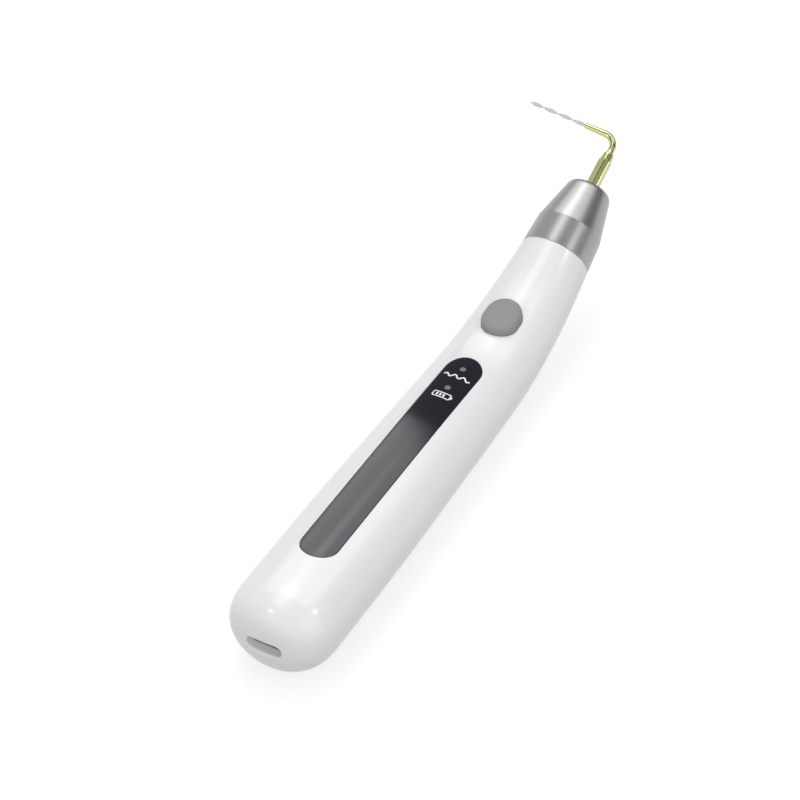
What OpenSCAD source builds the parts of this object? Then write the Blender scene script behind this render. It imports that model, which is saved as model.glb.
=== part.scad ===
// Cordless ultrasonic activator for root-canal irrigation. A curved handle holds the battery, the
// boards and the transducer; a steel nose clamps the horn, and a bent tip screws onto it.
// Each piece is laid out with x = 0 at the rear end and z = 0 on the handle's axis, then moved so
// that the origin is the middle of the flat that the handle rests on.

/* [Handle] */
// Width at the rear
rear_w = 27; // [26:0.5:28]
// Width a quarter of the way to the nose
quarter_w = 27.1; // [26:0.1:28]
// Width halfway to the nose
middle_w = 25.5; // [25:0.1:26.5]
// Width three quarters of the way to the nose
front_w = 23.3; // [22.9:0.1:24]
// Height of the top above the axis at the rear
rear_top = 11.3; // [11.1:0.1:12]
// Height of the top a quarter of the way to the nose
quarter_top = 11.05; // [10.95:0.05:11.5]
// Height of the top halfway to the nose
middle_top = 10.75; // [10.65:0.05:11.2]
// Height of the top three quarters of the way to the nose
front_top = 9.8; // [9.7:0.05:10.2]
// Depth of the belly below the axis
belly = 11.75; // [11.6:0.05:12.2]
// Depth of the belly three quarters of the way to the nose
front_belly = 11.5; // [11.2:0.05:11.75]
// Length of the straight part of the axis
straight_len = 97.2; // [96:0.1:99]
// Radius of the bend in the axis
bend_r = 116; // [112:0.5:120]
// Angle that the nose rises by
bend_deg = 23.1; // [22.5:0.1:23.8]
// Length over which the rear end rounds off
rear_round = 12.6; // [12:0.1:13.5]
// Squareness of the rear end, where 2 is round
rear_square = 2.67; // [2.4:0.01:2.9]
// Thickness of the casing
wall = 1.8; // [1.6:0.05:1.9]

/* [Nose and tip] */
// Diameter of the nose where it meets the handle
nose_d = 18.5; // [18.3:0.1:18.9]
// Length of the nose
nose_len = 21.95; // [21.5:0.05:23]
// Length of the nose's rear part, which hardly narrows
nose_rear_len = 8.4; // [8:0.1:8.6]
// Diameter of the nose at the front of its rear part
nose_waist_d = 17.54; // [17.4:0.01:17.8]
// Diameter of the nose at its front shoulder
shoulder_d = 12.16; // [12:0.01:12.4]
// Width across the flats of the tip's hexagon
hex_af = 3.2; // [3.1:0.1:3.5]
// Length of the hexagon in front of the nose
hex_len = 8.6; // [8:0.1:9]
// Length of the tip's round collar
collar_len = 2.3; // [2.2:0.1:2.8]
// Diameter of the tip's neck
neck_d = 1.8; // [1.6:0.05:1.9]
// Distance from the nose to the middle of the tip's arm
arm_height = 15.8; // [15.4:0.1:17]
// Radius of the tip's bend
tip_bend_r = 3.4; // [3:0.1:3.6]
// Angle that the tip bends through
tip_bend_deg = 89; // [85:1:95]
// Angle of the arm above the handle's left side
arm_turn = 9; // [0:1:90]
// Distance from the tip's axis to the end of the gold arm
arm_reach = 9.3; // [8:0.1:11]
// Distance from the tip's axis to the end of the file
file_reach = 25; // [20:0.1:26]
// Width of the twisted file
file_w = 1.1; // [0.8:0.05:1.2]
// Length of half a turn of the file's twist
file_twist = 4.2; // [3.5:0.1:5]

/* [Controls] */
// Distance from the rear end to the rear end of the indicator panel
panel_start = 21.2; // [20.5:0.1:22]
// Distance from the rear end to the front end of the indicator panel
panel_end = 99.2; // [98.6:0.1:100]
// Width of the indicator panel
panel_w = 9.65; // [9.4:0.05:10]
// Distance along the handle to the operating light
operate_at = 94.4; // [93.5:0.1:95]
// Distance along the handle to the charging light
charge_at = 86.6; // [85.5:0.1:88]
// Distance along the handle to the power button
button_at = 116.3; // [115.5:0.1:117]
// Length of the power button along the handle
button_len = 11.3; // [11:0.1:11.4]
// Width of the power button
button_w = 9.4; // [9.2:0.1:9.5]
// Height of the power button above the handle
button_rise = 2.4; // [1.8:0.1:2.6]
// Travel of the power button
button_travel = 0.5; // [0.3:0.1:0.6]
// Width of the charging port
port_w = 9.2; // [9.1:0.1:9.4]
// Height of the charging port
port_h = 3.4; // [3.3:0.1:3.6]

/* [Battery] */
// Diameter of the battery cell
cell_d = 14.2; // [13.8:0.1:14.3]
// Length of the battery cell
cell_len = 50; // [48:0.5:50]

/* [Hidden] */
$fn = 64;

nose_r = nose_d / 2;
arc_len = bend_r * bend_deg * PI / 180;
spigot_len = 1;
body_len = straight_len + arc_len + spigot_len;
half_widths = [rear_w, quarter_w, middle_w, front_w, nose_d] / 2;
tops = [rear_top, quarter_top, middle_top, front_top, nose_r];
bellies = [belly, belly, belly, front_belly, nose_r];

// The flat under the belly, and where the origin lies on it
belly_cut = 0.3;
rest_h = belly - belly_cut;
rest_x = 55;

// The bottom cover fills an opening below a level parting plane
parting_z = -6;
parting_gap = 0.15;
cover_rear = 14;
cover_front = 122;
cover_corner_r = 2.5;
fit_gap = 0.05;

// Screws that hold the bottom cover, on the centre line
cover_screw_x = [75.5, 104.5];
cover_screw_r = 1;
cover_head_r = 1.9;
cover_head_h = 1.5;
head_seat_z = -9;
boss_r = 2.3;

// Main board, above the battery
board_z = 5.2;
board_t = 1;
board_top = board_z + board_t;
board_rear = 16;
board_step = 80;
board_front = 101;
board_half = 7.1;
board_front_half = 6.1;
board_screw_at = [[28, -5.3], [28, 5.3], [71, -5.3], [71, 5.3]];
small_screw_r = 0.7;

cell_r = cell_d / 2;
cell_x = 20;
cell_z = -2.4;
tab_t = 0.3;

// Charging socket and its board
port_z = 0.18;
socket_w = 8.94;
socket_h = 3.16;
socket_x = 2.3;
socket_len = 7.3;
port_depth = 3;
charge_top = port_z - socket_h / 2;
charge_t = 0.8;

// Panel window, let into the casing
window_t = 0.85;
glue_t = 0.12;
window_sink = 0.03;
guide_r = 1.1;

// Power button and the switch under it, measured out from the handle's axis
button_top = 9.63;
crown_along = 32;
crown_across = 13.3;
flange_edge = 1.05;
seat_edge = 1.35;
seat_n = 7.3;
gasket_t = 0.3;
flange_t = 0.95;
flange_top = seat_n - gasket_t - fit_gap;
flange_bottom = flange_top - flange_t;
post_drop = 0.4;
plunger_r = 1.3;
plunger_len = 1.3;
plunger_top = flange_bottom - post_drop - fit_gap;
switch_top = plunger_top - button_travel - fit_gap;
switch_board_top = 3.4;
switch_board_t = 1;
switch_board_rear = -8.3;
switch_board_front = 3.2;
switch_posts = [[-5.4, -6, 7.2], [-5.4, 6, 7.2], [1.6, -7.3, 6.4], [1.6, 7.3, 6.4]];

// Nose and transducer, measured along the nose's axis from its front face
joint_h = -nose_len;
nose_hole_r = 2.15;
collar_rear = joint_h - 12;
collar_bore_r = 6;
collar_body_r = 7.4;
collar_thread_r = 7.6;
collar_front = -16;
washer_t = 0.6;
flange_h = 1.5;
horn_flange_r = 7;
flange_rear = collar_front + washer_t;
flange_front = flange_rear + flange_h;
clamp_h = flange_front + washer_t;
stack_r = 5;
stack_front = -22.5;
ring_t = 2;
electrode_t = 0.2;
ring_count = 4;
stack_pitch = ring_t + electrode_t;
stack_rear = stack_front - ring_count * stack_pitch - electrode_t;
mass_len = 12.5;
bolt_r = 2;
bolt_front = -18;
bolt_head_h = 3;
horn_front_r = 1.9;
horn_front = -0.4;
stud_r = 1.5;
stud_len = 4.4;
hex_start = -0.15;
collar_r = 1.45;
file_t = 0.28;

// Angle along the axis, its distance from the rear end and its height
function turn(s) = min(max(s - straight_len, 0) / arc_len, 1) * bend_deg;
function beyond(s) = max(s - straight_len - arc_len, 0);
function axis_x(s) = min(s, straight_len) + bend_r * sin(turn(s)) + beyond(s) * cos(turn(s));
function axis_z(s) = bend_r * (1 - cos(turn(s))) + beyond(s) * sin(turn(s));

// A smooth curve through evenly spaced values that never overshoots them
function end_slope(d, next) =
    let (m = (3 * d - next) / 2)
    m * d <= 0 ? 0 : d * next > 0 ? m : sign(m) * min(abs(m), 3 * abs(d));
function inner_slope(d, next) = d * next <= 0 ? 0 : 2 * d * next / (d + next);
function slope(v, i) =
    let (n = len(v) - 1)
    i == 0 ? end_slope(v[1] - v[0], v[2] - v[1])
    : i == n ? end_slope(v[n] - v[n - 1], v[n - 1] - v[n - 2])
    : inner_slope(v[i] - v[i - 1], v[i + 1] - v[i]);
function along(v, s) =
    let (n = len(v) - 1, f = min(max(s / body_len, 0), 1) * n, i = min(floor(f), n - 1), t = f - i)
    v[i] * (1 + 2 * t) * (1 - t) ^ 2 + slope(v, i) * t * (1 - t) ^ 2
    + v[i + 1] * t ^ 2 * (3 - 2 * t) + slope(v, i + 1) * t ^ 2 * (t - 1);

// How far the rear end has opened at s, for a surface a given depth inside the skin
function rear_open(s, depth) =
    s >= rear_round ? 1 : (1 - (1 - (s - depth) / (rear_round - depth)) ^ rear_square) ^ (1 / rear_square);
function half_w(s, depth) = (along(half_widths, s) - depth) * rear_open(s, depth);
function half_h(s, depth, a) = (along(a > 180 ? bellies : tops, s) - depth) * rear_open(s, depth);
function skin_point(s, depth, a) =
    let (h = half_h(s, depth, a) * sin(a))
    [axis_x(s) - h * sin(turn(s)), half_w(s, depth) * cos(a), axis_z(s) + h * cos(turn(s))];
function ring(s, depth, sides) = [for (i = [0:sides - 1]) skin_point(s, depth, 360 * i / sides)];

// Places along the axis for rings: close together in the rear end and in the bend
function rear_stops(depth) =
    [for (q = [8:9:89]) depth + (rear_round - depth) * (1 - cos(q) ^ (2 / rear_square))];
function even_stops(from, to, count) = [for (i = [0:count]) from + (to - from) * i / count];

// Closed solid through rings with the same number of points
module loft(rings) {
    n = len(rings[0]);
    last = (len(rings) - 1) * n;
    walls = [for (a = [0:n:last - n], i = [0:n - 1])
        let (j = (i + 1) % n)
        each [[a + i, a + n + j, a + j], [a + i, a + n + i, a + n + j]]];
    rear_cap = [for (i = [0:n - 1]) i];
    front_cap = [for (i = [n - 1:-1:0]) last + i];
    polyhedron([for (r = rings) each r], concat(walls, [rear_cap], [front_cap]));
}

// Handle's shape a given depth inside the skin, from the rear end to a place along the axis
module core(depth, to, sides = 32) {
    stops = concat(
        rear_stops(depth),
        even_stops(rear_round + 1, straight_len, 8),
        even_stops(straight_len + 3.4, to, 13)
    );
    loft([for (s = stops) ring(s, depth, sides)]);
}

// A length of the handle's shape a given depth inside the skin
module core_piece(depth, from, to, count, sides = 32) {
    loft([for (s = even_stops(from, to, count)) ring(s, depth, sides)]);
}

// Moves a child from the handle's own layout to the part's frame
module place() {
    translate([-rest_x, 0, rest_h]) children();
}

// Turns a child so that its Z axis lies on the nose's axis, with Z = 0 at the nose's front face
module on_nose() {
    place() translate([axis_x(body_len), 0, axis_z(body_len)])
        rotate([0, 90 - bend_deg, 0]) translate([0, 0, nose_len]) children();
}

// Turns a child so that its Z axis stands square on the handle at a place along it
module on_top(s) {
    place() translate([axis_x(s), 0, axis_z(s)]) rotate([0, -turn(s), 0]) children();
}

// Washer or tube between two heights
module tube(r_out, r_in, from, to) {
    translate([0, 0, from]) difference() {
        cylinder(r = r_out, h = to - from);
        translate([0, 0, -1]) cylinder(r = r_in, h = to - from + 2);
    }
}

// Solid cylinder between two heights
module rod(r, from, to) {
    translate([0, 0, from]) cylinder(r = r, h = to - from);
}

// Flat outline with round ends, longer along X
module stadium(length, width) {
    square([length - width, width], center = true);
    for (side = [-1, 1]) translate([side * (length - width) / 2, 0]) circle(d = width);
}

// Slot-shaped bar along X for the charging port
module port_bar(width, height, from, to) {
    translate([from, 0, port_z]) rotate([90, 0, 90]) linear_extrude(to - from) stadium(width, height);
}

// Upright bar of the power button's outline, wider or narrower by an edge all round
module button_bar(edge, from, to) {
    translate([0, 0, from]) linear_extrude(to - from) stadium(button_len + 2 * edge, button_w + 2 * edge);
}

// Upright bar of the indicator panel's outline
module panel_bar(gap) {
    length = panel_end - panel_start - 2 * gap;
    translate([(panel_start + panel_end) / 2, 0, 0])
        linear_extrude(20) stadium(length, panel_w - 2 * gap);
}

// Everything under the parting plane, between the ends of the bottom cover, with round upper corners
module cover_zone(gap) {
    length = cover_front - cover_rear - 2 * gap;
    r = cover_corner_r - gap;
    translate([cover_rear + gap, 20, parting_z - gap]) rotate([90, 0, 0]) linear_extrude(40) {
        translate([0, -24]) square([length, 24 - r]);
        translate([r, -r - 1]) square([length - 2 * r, r + 1]);
        for (x = [r, length - r]) translate([x, -r]) circle(r = r);
    }
}

// Material that the flat under the belly takes away
module belly_block() {
    translate([-5, -20, -rest_h - 20]) cube([200, 40, 20]);
}

// Section of the straight part of the handle, as a plate across it
module cross_plate(x, t, depth, top) {
    translate([x, 0, 0]) rotate([90, 0, 90]) linear_extrude(t) intersection() {
        polygon([for (a = [0:10:350]) [half_w(x, depth) * cos(a), half_h(x, depth, a) * sin(a)]]);
        translate([-20, -30]) square([40, 30 + top]);
    }
}

// Smooth curve through points, and a round wire along it
function curve_point(p, i, t) =
    let (n = len(p) - 1, a = p[max(i - 1, 0)], b = p[i], c = p[i + 1], d = p[min(i + 2, n)])
    (2 * b + (c - a) * t + (2 * a - 5 * b + 4 * c - d) * t ^ 2 + (3 * b - a - 3 * c + d) * t ^ 3) / 2;
function curve(p, steps) =
    concat([for (i = [0:len(p) - 2], k = [0:steps - 1]) curve_point(p, i, k / steps)], [p[len(p) - 1]]);
function heading(p, i) =
    let (d = p[min(i + 1, len(p) - 1)] - p[max(i - 1, 0)])
    d / norm(d);
module wire(points, r) {
    path = curve(points, 4);
    loft([for (i = [0:len(path) - 1])
        let (d = heading(path, i), c = cross(d, [0, 1, 0]), u = c / norm(c), v = cross(d, u))
        [for (a = [0:45:315]) path[i] + r * (u * cos(a) + v * sin(a))]]);
}

module main_housing() {
    color([0.95, 0.95, 0.95]) place() difference() {
        union() {
            difference() {
                core(0, body_len);
                core(wall, body_len - 11, 24);
                cover_zone(-parting_gap);
            }
            for (x = cover_screw_x) translate([x, 0, 0]) rod(boss_r, parting_z, along(tops, x) - wall + 0.4);
            for (p = board_screw_at) translate([p.x, p.y, 0]) rod(1.5, board_top, board_top + 2.6);
            port_bar(port_w + 2, port_h + 2, 1.2, port_depth);
            for (side = [-1, 1]) translate([4, side * 7 - 2.6, charge_top - charge_t - 1.2])
                cube([9, 5.2, 1.2]);
            translate([axis_x(button_at), 0, axis_z(button_at)]) rotate([0, -turn(button_at), 0])
                for (p = switch_posts) translate([p.x, p.y, 0]) rod(0.9, switch_board_top, p.z);
        }
        belly_block();
        difference() {
            panel_bar(0);
            core_piece(window_t + glue_t + window_sink, panel_start - 2, panel_end + 2, 9);
        }
        for (x = [operate_at, charge_at]) translate([x, 0, 0]) rod(guide_r + 0.1, board_top, 12);
        port_bar(port_w, port_h, -2, 4);
        for (x = cover_screw_x) translate([x, 0, 0])
            rod(cover_screw_r + 0.02, parting_z - 1, parting_z + 7);
        for (p = board_screw_at) translate([p.x, p.y, 0])
            rod(small_screw_r + 0.02, board_top - 1, board_top + 1.7);
        translate([axis_x(button_at), 0, axis_z(button_at)]) rotate([0, -turn(button_at), 0]) {
            button_bar(seat_edge, 5, seat_n);
            button_bar(fit_gap, seat_n - 1, 14);
            for (p = switch_posts) translate([p.x, p.y, 0])
                rod(0.42, switch_board_top - 1, switch_board_top + 1.6);
        }
        translate([axis_x(body_len), 0, axis_z(body_len)]) rotate([0, 90 - bend_deg, 0])
            rod(collar_body_r + fit_gap, -12.5, 2);
    }
}

module bottom_cover() {
    color([0.93, 0.93, 0.93]) place() difference() {
        union() {
            intersection() {
                difference() {
                    core_piece(0, cover_rear - 1, cover_front + 3, 16);
                    core_piece(wall, cover_rear - 2, cover_front + 5, 16, 24);
                }
                cover_zone(0);
            }
            for (x = [28, 45, 62]) cross_plate(x - 0.6, 1.2, wall - 0.6, parting_z);
            for (x = [17.6, 71.4]) cross_plate(x, 1, wall - 0.6, parting_z);
            for (x = [17.6, 71.4]) translate([x, -6, parting_z - 1]) cube([1, 12, 5]);
            for (x = cover_screw_x) translate([x, 0, 0]) rod(3.2, -10.6, parting_z - fit_gap);
            for (side = [-1, 1]) translate([11.5, side * 3 - 1.3, -8.8]) cube([4.5, 2.6, 1.1]);
            for (side = [-1, 1]) translate([14.2, side * 3 - 1.3, -10.4]) cube([1.8, 2.6, 2.7]);
        }
        belly_block();
        translate([cell_x - 1, 0, cell_z]) rotate([0, 90, 0]) rod(cell_r + fit_gap, 0, cell_len + 2);
        for (x = cover_screw_x) translate([x, 0, 0]) {
            rod(cover_screw_r + 0.15, -20, 0);
            rod(cover_head_r + 0.15, -20, head_seat_z);
        }
    }
}

// Half the width of the casing at a height below the axis, a given depth inside the skin
function rim_y(x, z, depth) =
    let (s = straight_len + asin(max(x - straight_len, 0) / bend_r) * bend_r * PI / 180,
        p = x < straight_len ? x : s,
        h = (along(bellies, p) - depth) / cos(turn(p)))
    (along(half_widths, p) - depth) * sqrt(1 - ((z - axis_z(p)) / h) ^ 2);

module parting_gasket() {
    stops = even_stops(cover_rear + cover_corner_r, cover_front - cover_corner_r, 18);
    outer = [for (x = stops) [x, rim_y(x, parting_z, 0.35)]];
    inner = [for (i = [len(stops) - 1:-1:0]) [stops[i], rim_y(stops[i], parting_z, wall - 0.35)]];
    color([0.25, 0.25, 0.27]) place() for (side = [0, 1]) mirror([0, side, 0])
        translate([0, 0, parting_z]) linear_extrude(parting_gap) polygon(concat(outer, inner));
}

module housing_screws() {
    color([0.75, 0.75, 0.77]) place() for (x = cover_screw_x) translate([x, 0, 0]) difference() {
        union() {
            rod(cover_screw_r, head_seat_z, parting_z + 6);
            rod(cover_head_r, head_seat_z - cover_head_h, head_seat_z);
        }
        for (a = [0, 90]) translate([0, 0, head_seat_z - cover_head_h]) rotate([0, 0, a])
            cube([2.2, 0.5, 1.6], center = true);
    }
}

module panel_window() {
    color([0.05, 0.06, 0.09]) place() intersection() {
        difference() {
            core_piece(window_sink, panel_start - 3, panel_end + 3, 9);
            core_piece(window_sink + window_t, panel_start - 4, panel_end + 4, 9);
        }
        panel_bar(0.08);
    }
}

module panel_adhesive() {
    color([0.15, 0.15, 0.16]) place() intersection() {
        difference() {
            core_piece(window_sink + window_t + 0.02, panel_start - 3, panel_end + 3, 9);
            core_piece(window_sink + window_t + glue_t - 0.02, panel_start - 4, panel_end + 4, 9);
        }
        difference() {
            panel_bar(0.3);
            panel_bar(1.5);
        }
    }
}

module light_guides() {
    color([0.85, 0.88, 0.9]) place() for (x = [operate_at, charge_at]) translate([x, 0, 0])
        rod(guide_r, board_top + 1, along(tops, x) - window_t - glue_t - 0.2);
}

module status_leds() {
    color([0.6, 0.75, 0.7]) place() for (x = [operate_at, charge_at])
        translate([x, 0, board_top + 0.45]) cube([2, 1.25, 0.9], center = true);
}

module power_button() {
    apex = button_top + button_rise;
    color([0.5, 0.5, 0.51]) on_top(button_at) {
        button_bar(flange_edge, flange_bottom, flange_top);
        intersection() {
            button_bar(0, flange_top - 0.1, apex + 1);
            translate([0, 0, apex - crown_along]) rotate([90, 0, 0]) rotate_extrude($fn = 96)
                translate([crown_along - crown_across, 0]) circle(r = crown_across, $fn = 96);
        }
        rod(1.4, flange_bottom - post_drop, flange_bottom + 0.1);
    }
}

module button_gasket() {
    color([0.3, 0.3, 0.32]) on_top(button_at) difference() {
        button_bar(seat_edge - 0.1, seat_n - gasket_t, seat_n);
        button_bar(0.25, seat_n - 1, seat_n + 1);
    }
}

module switch_plunger() {
    color([0.15, 0.15, 0.15]) on_top(button_at) rod(plunger_r, plunger_top - plunger_len, plunger_top);
}

module tact_switch() {
    floor_n = plunger_top - plunger_len - button_travel - fit_gap;
    color([0.35, 0.35, 0.36]) on_top(button_at) difference() {
        translate([-3, -3, switch_board_top]) cube([6, 6, switch_top - switch_board_top]);
        rod(plunger_r + 0.08, floor_n, switch_top + 1);
    }
}

module switch_board() {
    length = switch_board_front - switch_board_rear;
    color([0.1, 0.35, 0.2]) on_top(button_at) difference() {
        translate([switch_board_rear, -8.2, switch_board_top - switch_board_t])
            cube([length, 16.4, switch_board_t]);
        for (p = switch_posts) translate([p.x, p.y, 0]) rod(0.45, 0, switch_board_top + 1);
    }
}

module switch_ribbon() {
    t = 0.2;
    drop = turn(button_at);
    end = [axis_x(button_at) + (switch_board_rear + 1) * cos(drop) - switch_board_top * sin(drop),
        axis_z(button_at) + (switch_board_rear + 1) * sin(drop) + switch_board_top * cos(drop)];
    lower = [[board_front - 3, board_top], [board_front + 0.4, board_top], end - [1.4, -0.1], end];
    upper = [end + [0, t], end + [-1.3, 0.1 + t], [board_front + 0.5, board_top + t],
        [board_front - 3, board_top + t]];
    color([0.75, 0.45, 0.15]) place() translate([0, 5.4, 0]) rotate([90, 0, 0])
        linear_extrude(2.4) polygon(concat(lower, upper));
}

module main_board() {
    color([0.08, 0.32, 0.18]) place() difference() {
        union() {
            translate([board_rear, -board_half, board_z])
                cube([board_step - board_rear, 2 * board_half, board_t]);
            translate([board_step - 1, -board_front_half, board_z])
                cube([board_front - board_step + 1, 2 * board_front_half, board_t]);
        }
        translate([cover_screw_x[0], 0, 0]) rod(boss_r + 0.2, 0, 10);
        for (p = board_screw_at) translate([p.x, p.y, 0]) rod(small_screw_r + 0.1, 0, 10);
    }
}

module board_chips() {
    chips = [[22, 0, 5, 5, 0.9], [36, 1, 7, 7, 0.9], [47, -2.5, 4, 4, 1.6], [50, 3, 5, 4, 0.9],
        [58, 0, 6, 6, 1], [66, -2, 3, 3, 1.6], [66, 3, 3, 2, 0.8], [82, 0, 3, 4, 0.8]];
    color([0.12, 0.12, 0.13]) place() for (c = chips)
        translate([c[0] - c[2] / 2, c[1] - c[3] / 2, board_top]) cube([c[2], c[3], c[4]]);
}

module drive_transformer() {
    color([0.22, 0.22, 0.24]) place() difference() {
        translate([83, -5.5, board_z - 6.4]) cube([11, 11, 6]);
        for (side = [-1, 1]) translate([88.5 + side * 3, 0, board_z - 3.4])
            cube([2.6, 12, 3.6], center = true);
    }
}

module transformer_coil() {
    color([0.75, 0.5, 0.2]) place() for (side = [-1, 1])
        translate([88.5 + side * 3, 0, board_z - 3.4]) cube([2.3, 10.6, 3.3], center = true);
}

module board_screws() {
    color([0.75, 0.75, 0.77]) {
        place() for (p = board_screw_at) translate([p.x, p.y, 0]) {
            rod(small_screw_r, board_z - 0.1, board_top + 1.5);
            rod(1.3, board_z - 0.7, board_z);
        }
        on_top(button_at) for (p = switch_posts) translate([p.x, p.y, 0]) {
            rod(0.4, switch_board_top - switch_board_t - 0.1, switch_board_top + 1.4);
            rod(0.8, switch_board_top - switch_board_t - 0.4, switch_board_top - switch_board_t);
        }
    }
}

module battery_cell() {
    color([0.2, 0.45, 0.7]) place() translate([cell_x, 0, cell_z]) rotate([0, 90, 0]) {
        rod(cell_r, 0, cell_len - 0.6);
        rod(2.6, cell_len - 0.7, cell_len);
    }
}

module battery_tabs() {
    color([0.8, 0.8, 0.78]) place() for (x = [cell_x - tab_t, cell_x + cell_len])
        translate([x, -2, cell_z - 2.5]) cube([tab_t, 4, 7.5]);
}

module battery_pad() {
    color([0.2, 0.2, 0.22]) place() difference() {
        translate([32, -3.5, cell_z + cell_r - 1]) cube([24, 7, board_z - cell_z - cell_r + 1]);
        translate([cell_x, 0, cell_z]) rotate([0, 90, 0]) rod(cell_r, 0, cell_len);
    }
}

module battery_leads() {
    front = cell_x + cell_len + tab_t;
    rear = cell_x - tab_t;
    color([0.75, 0.12, 0.1]) place() {
        wire([[front + 0.3, 1, 1.5], [front + 0.35, 1, 3], [front + 0.5, 1, 4.2],
            [front + 0.6, 1, board_z]], 0.28);
        wire([[rear - 0.3, 1, 1.5], [rear - 0.4, 1, 3], [rear - 0.9, 1, 4.2], [rear - 1, 1, board_z]], 0.28);
    }
}

module usb_socket() {
    color([0.78, 0.79, 0.8]) place() difference() {
        port_bar(socket_w, socket_h, socket_x, socket_x + socket_len);
        port_bar(socket_w - 0.6, socket_h - 0.6, socket_x - 1, socket_x + socket_len - 0.4);
    }
}

module usb_tongue() {
    color([0.12, 0.12, 0.13]) place() translate([socket_x + 1.2, -3.35, port_z - 0.35])
        cube([socket_len - 1.6, 6.7, 0.7]);
}

module port_seal() {
    color([0.2, 0.2, 0.22]) place() difference() {
        port_bar(port_w + 1.4, port_h + 0.9, port_depth + 0.05, port_depth + 0.75);
        port_bar(socket_w + 0.04, socket_h + 0.04, 2, 5);
        translate([2, -10, charge_top - 5]) cube([3, 20, 5]);
    }
}

module charge_board() {
    color([0.08, 0.32, 0.18]) place() translate([3.5, -6, charge_top - charge_t]) cube([11, 12, charge_t]);
}

module charge_leads() {
    color([0.1, 0.1, 0.1]) place() for (side = [-1, 1])
        wire([[12.8, 3.4 * side, charge_top], [13.2, 3.4 * side, 1], [15.4, 3.4 * side, 3.2],
            [16.7, 3.4 * side, 4.2], [16.8, 3.4 * side, board_z]], 0.28);
}

module nose_collar() {
    groove = joint_h + 1.5;
    color([0.72, 0.72, 0.74]) on_nose() difference() {
        union() {
            rod(collar_body_r, collar_rear, joint_h);
            rod(collar_thread_r, joint_h, collar_front);
        }
        rod(collar_bore_r, collar_rear - 1, collar_front + 1);
        tube(collar_body_r + 1, collar_body_r - 0.4, groove - 8, groove - 6.5);
        tube(collar_thread_r + 1, collar_thread_r - 0.7, groove - 0.5, groove + 0.5);
    }
}

module nose_cone() {
    shoulder_r = shoulder_d / 2;
    outline = [[nose_r, joint_h + 0.15], [nose_waist_d / 2, joint_h + nose_rear_len], [shoulder_r, -2.1],
        [shoulder_r - 0.45, -1], [nose_hole_r + 0.15, 0], [nose_hole_r, 0], [nose_hole_r, -1.2],
        [3.2, -1.2], [3.2, -4], [6.2, clamp_h + 1], [6.2, clamp_h], [collar_thread_r + fit_gap, clamp_h],
        [collar_thread_r + fit_gap, joint_h], [nose_r - 0.15, joint_h]];
    color([0.62, 0.62, 0.61]) on_nose() rotate_extrude($fn = 96) polygon(outline);
}

module nose_o_ring() {
    color([0.15, 0.15, 0.16]) on_nose() translate([0, 0, joint_h + 1.5]) rotate_extrude()
        translate([collar_thread_r - 0.33, 0]) circle(r = 0.36, $fn = 24);
}

module horn() {
    outline = [[0, stack_front], [stack_r, stack_front], [stack_r, flange_rear], [horn_flange_r, flange_rear],
        [horn_flange_r, flange_front], [4.2, flange_front], [4.2, -9.5], [horn_front_r, -6],
        [horn_front_r, horn_front], [stud_r, horn_front], [stud_r, stud_len], [0, stud_len]];
    color([0.66, 0.67, 0.7]) on_nose() difference() {
        rotate_extrude() polygon(outline);
        rod(bolt_r + 0.02, stack_front - 1, bolt_front + 0.1);
    }
}

module horn_seal() {
    color([0.2, 0.2, 0.22]) on_nose() tube(3.15, horn_front_r + 0.02, -3.6, -1.25);
}

module flange_washers() {
    color([0.3, 0.3, 0.32]) on_nose() {
        tube(horn_flange_r, 6.05, collar_front, flange_rear);
        tube(horn_flange_r, 6.25, flange_front, clamp_h);
    }
}

module transducer_sleeve() {
    color([0.85, 0.7, 0.35]) on_nose()
        tube(collar_bore_r - 0.05, stack_r + 0.55, collar_rear + 0.5, collar_front - 0.4);
}

module piezo_rings() {
    color([0.35, 0.3, 0.25]) on_nose() for (i = [0:ring_count - 1]) {
        top = stack_front - electrode_t - i * stack_pitch;
        tube(stack_r, bolt_r + 0.3, top - ring_t, top);
    }
}

module electrodes() {
    color([0.8, 0.65, 0.3]) on_nose() for (i = [0:ring_count]) {
        top = stack_front - i * stack_pitch;
        tube(stack_r, bolt_r + 0.3, top - electrode_t, top);
    }
}

module back_mass() {
    color([0.6, 0.6, 0.62]) on_nose() tube(stack_r, bolt_r + 0.1, stack_rear - mass_len, stack_rear);
}

module preload_bolt() {
    seat = stack_rear - mass_len;
    color([0.3, 0.3, 0.32]) on_nose() difference() {
        union() {
            rod(bolt_r, seat - 0.1, bolt_front);
            rod(3.2, seat - bolt_head_h, seat);
        }
        translate([0, 0, seat - bolt_head_h - 1]) cylinder(r = 1.6, h = 2.6, $fn = 6);
    }
}

// A point given by its place along the nose's axis and its distances above and to the side of it
function nose_point(h, up, y) =
    let (d = h + nose_len)
    [axis_x(body_len) + d * cos(bend_deg) - up * sin(bend_deg), y,
        axis_z(body_len) + d * sin(bend_deg) + up * cos(bend_deg)];

module transducer_leads() {
    color([0.75, 0.75, 0.78]) place() for (side = [-1, 1])
        wire([nose_point(stack_rear - 0.5, 0, 5.26 * side), nose_point(-38, 0, 5.28 * side),
            nose_point(-46, 0, 5.2 * side), [115, 4.9 * side, -1], [107, 4.6 * side, 0.5],
            [101, 4.2 * side, 2.5], [98, 4 * side, 4.2], [97.5, 4 * side, board_z]], 0.22);
}

// Carries a child to the end of the tip's bend, with Z along the arm
module on_arm() {
    on_nose() rotate([0, 0, arm_turn]) translate([0, tip_bend_r, arm_height - tip_bend_r])
        rotate([-tip_bend_deg, 0, 0]) translate([0, -tip_bend_r, 0]) children();
}

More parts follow.
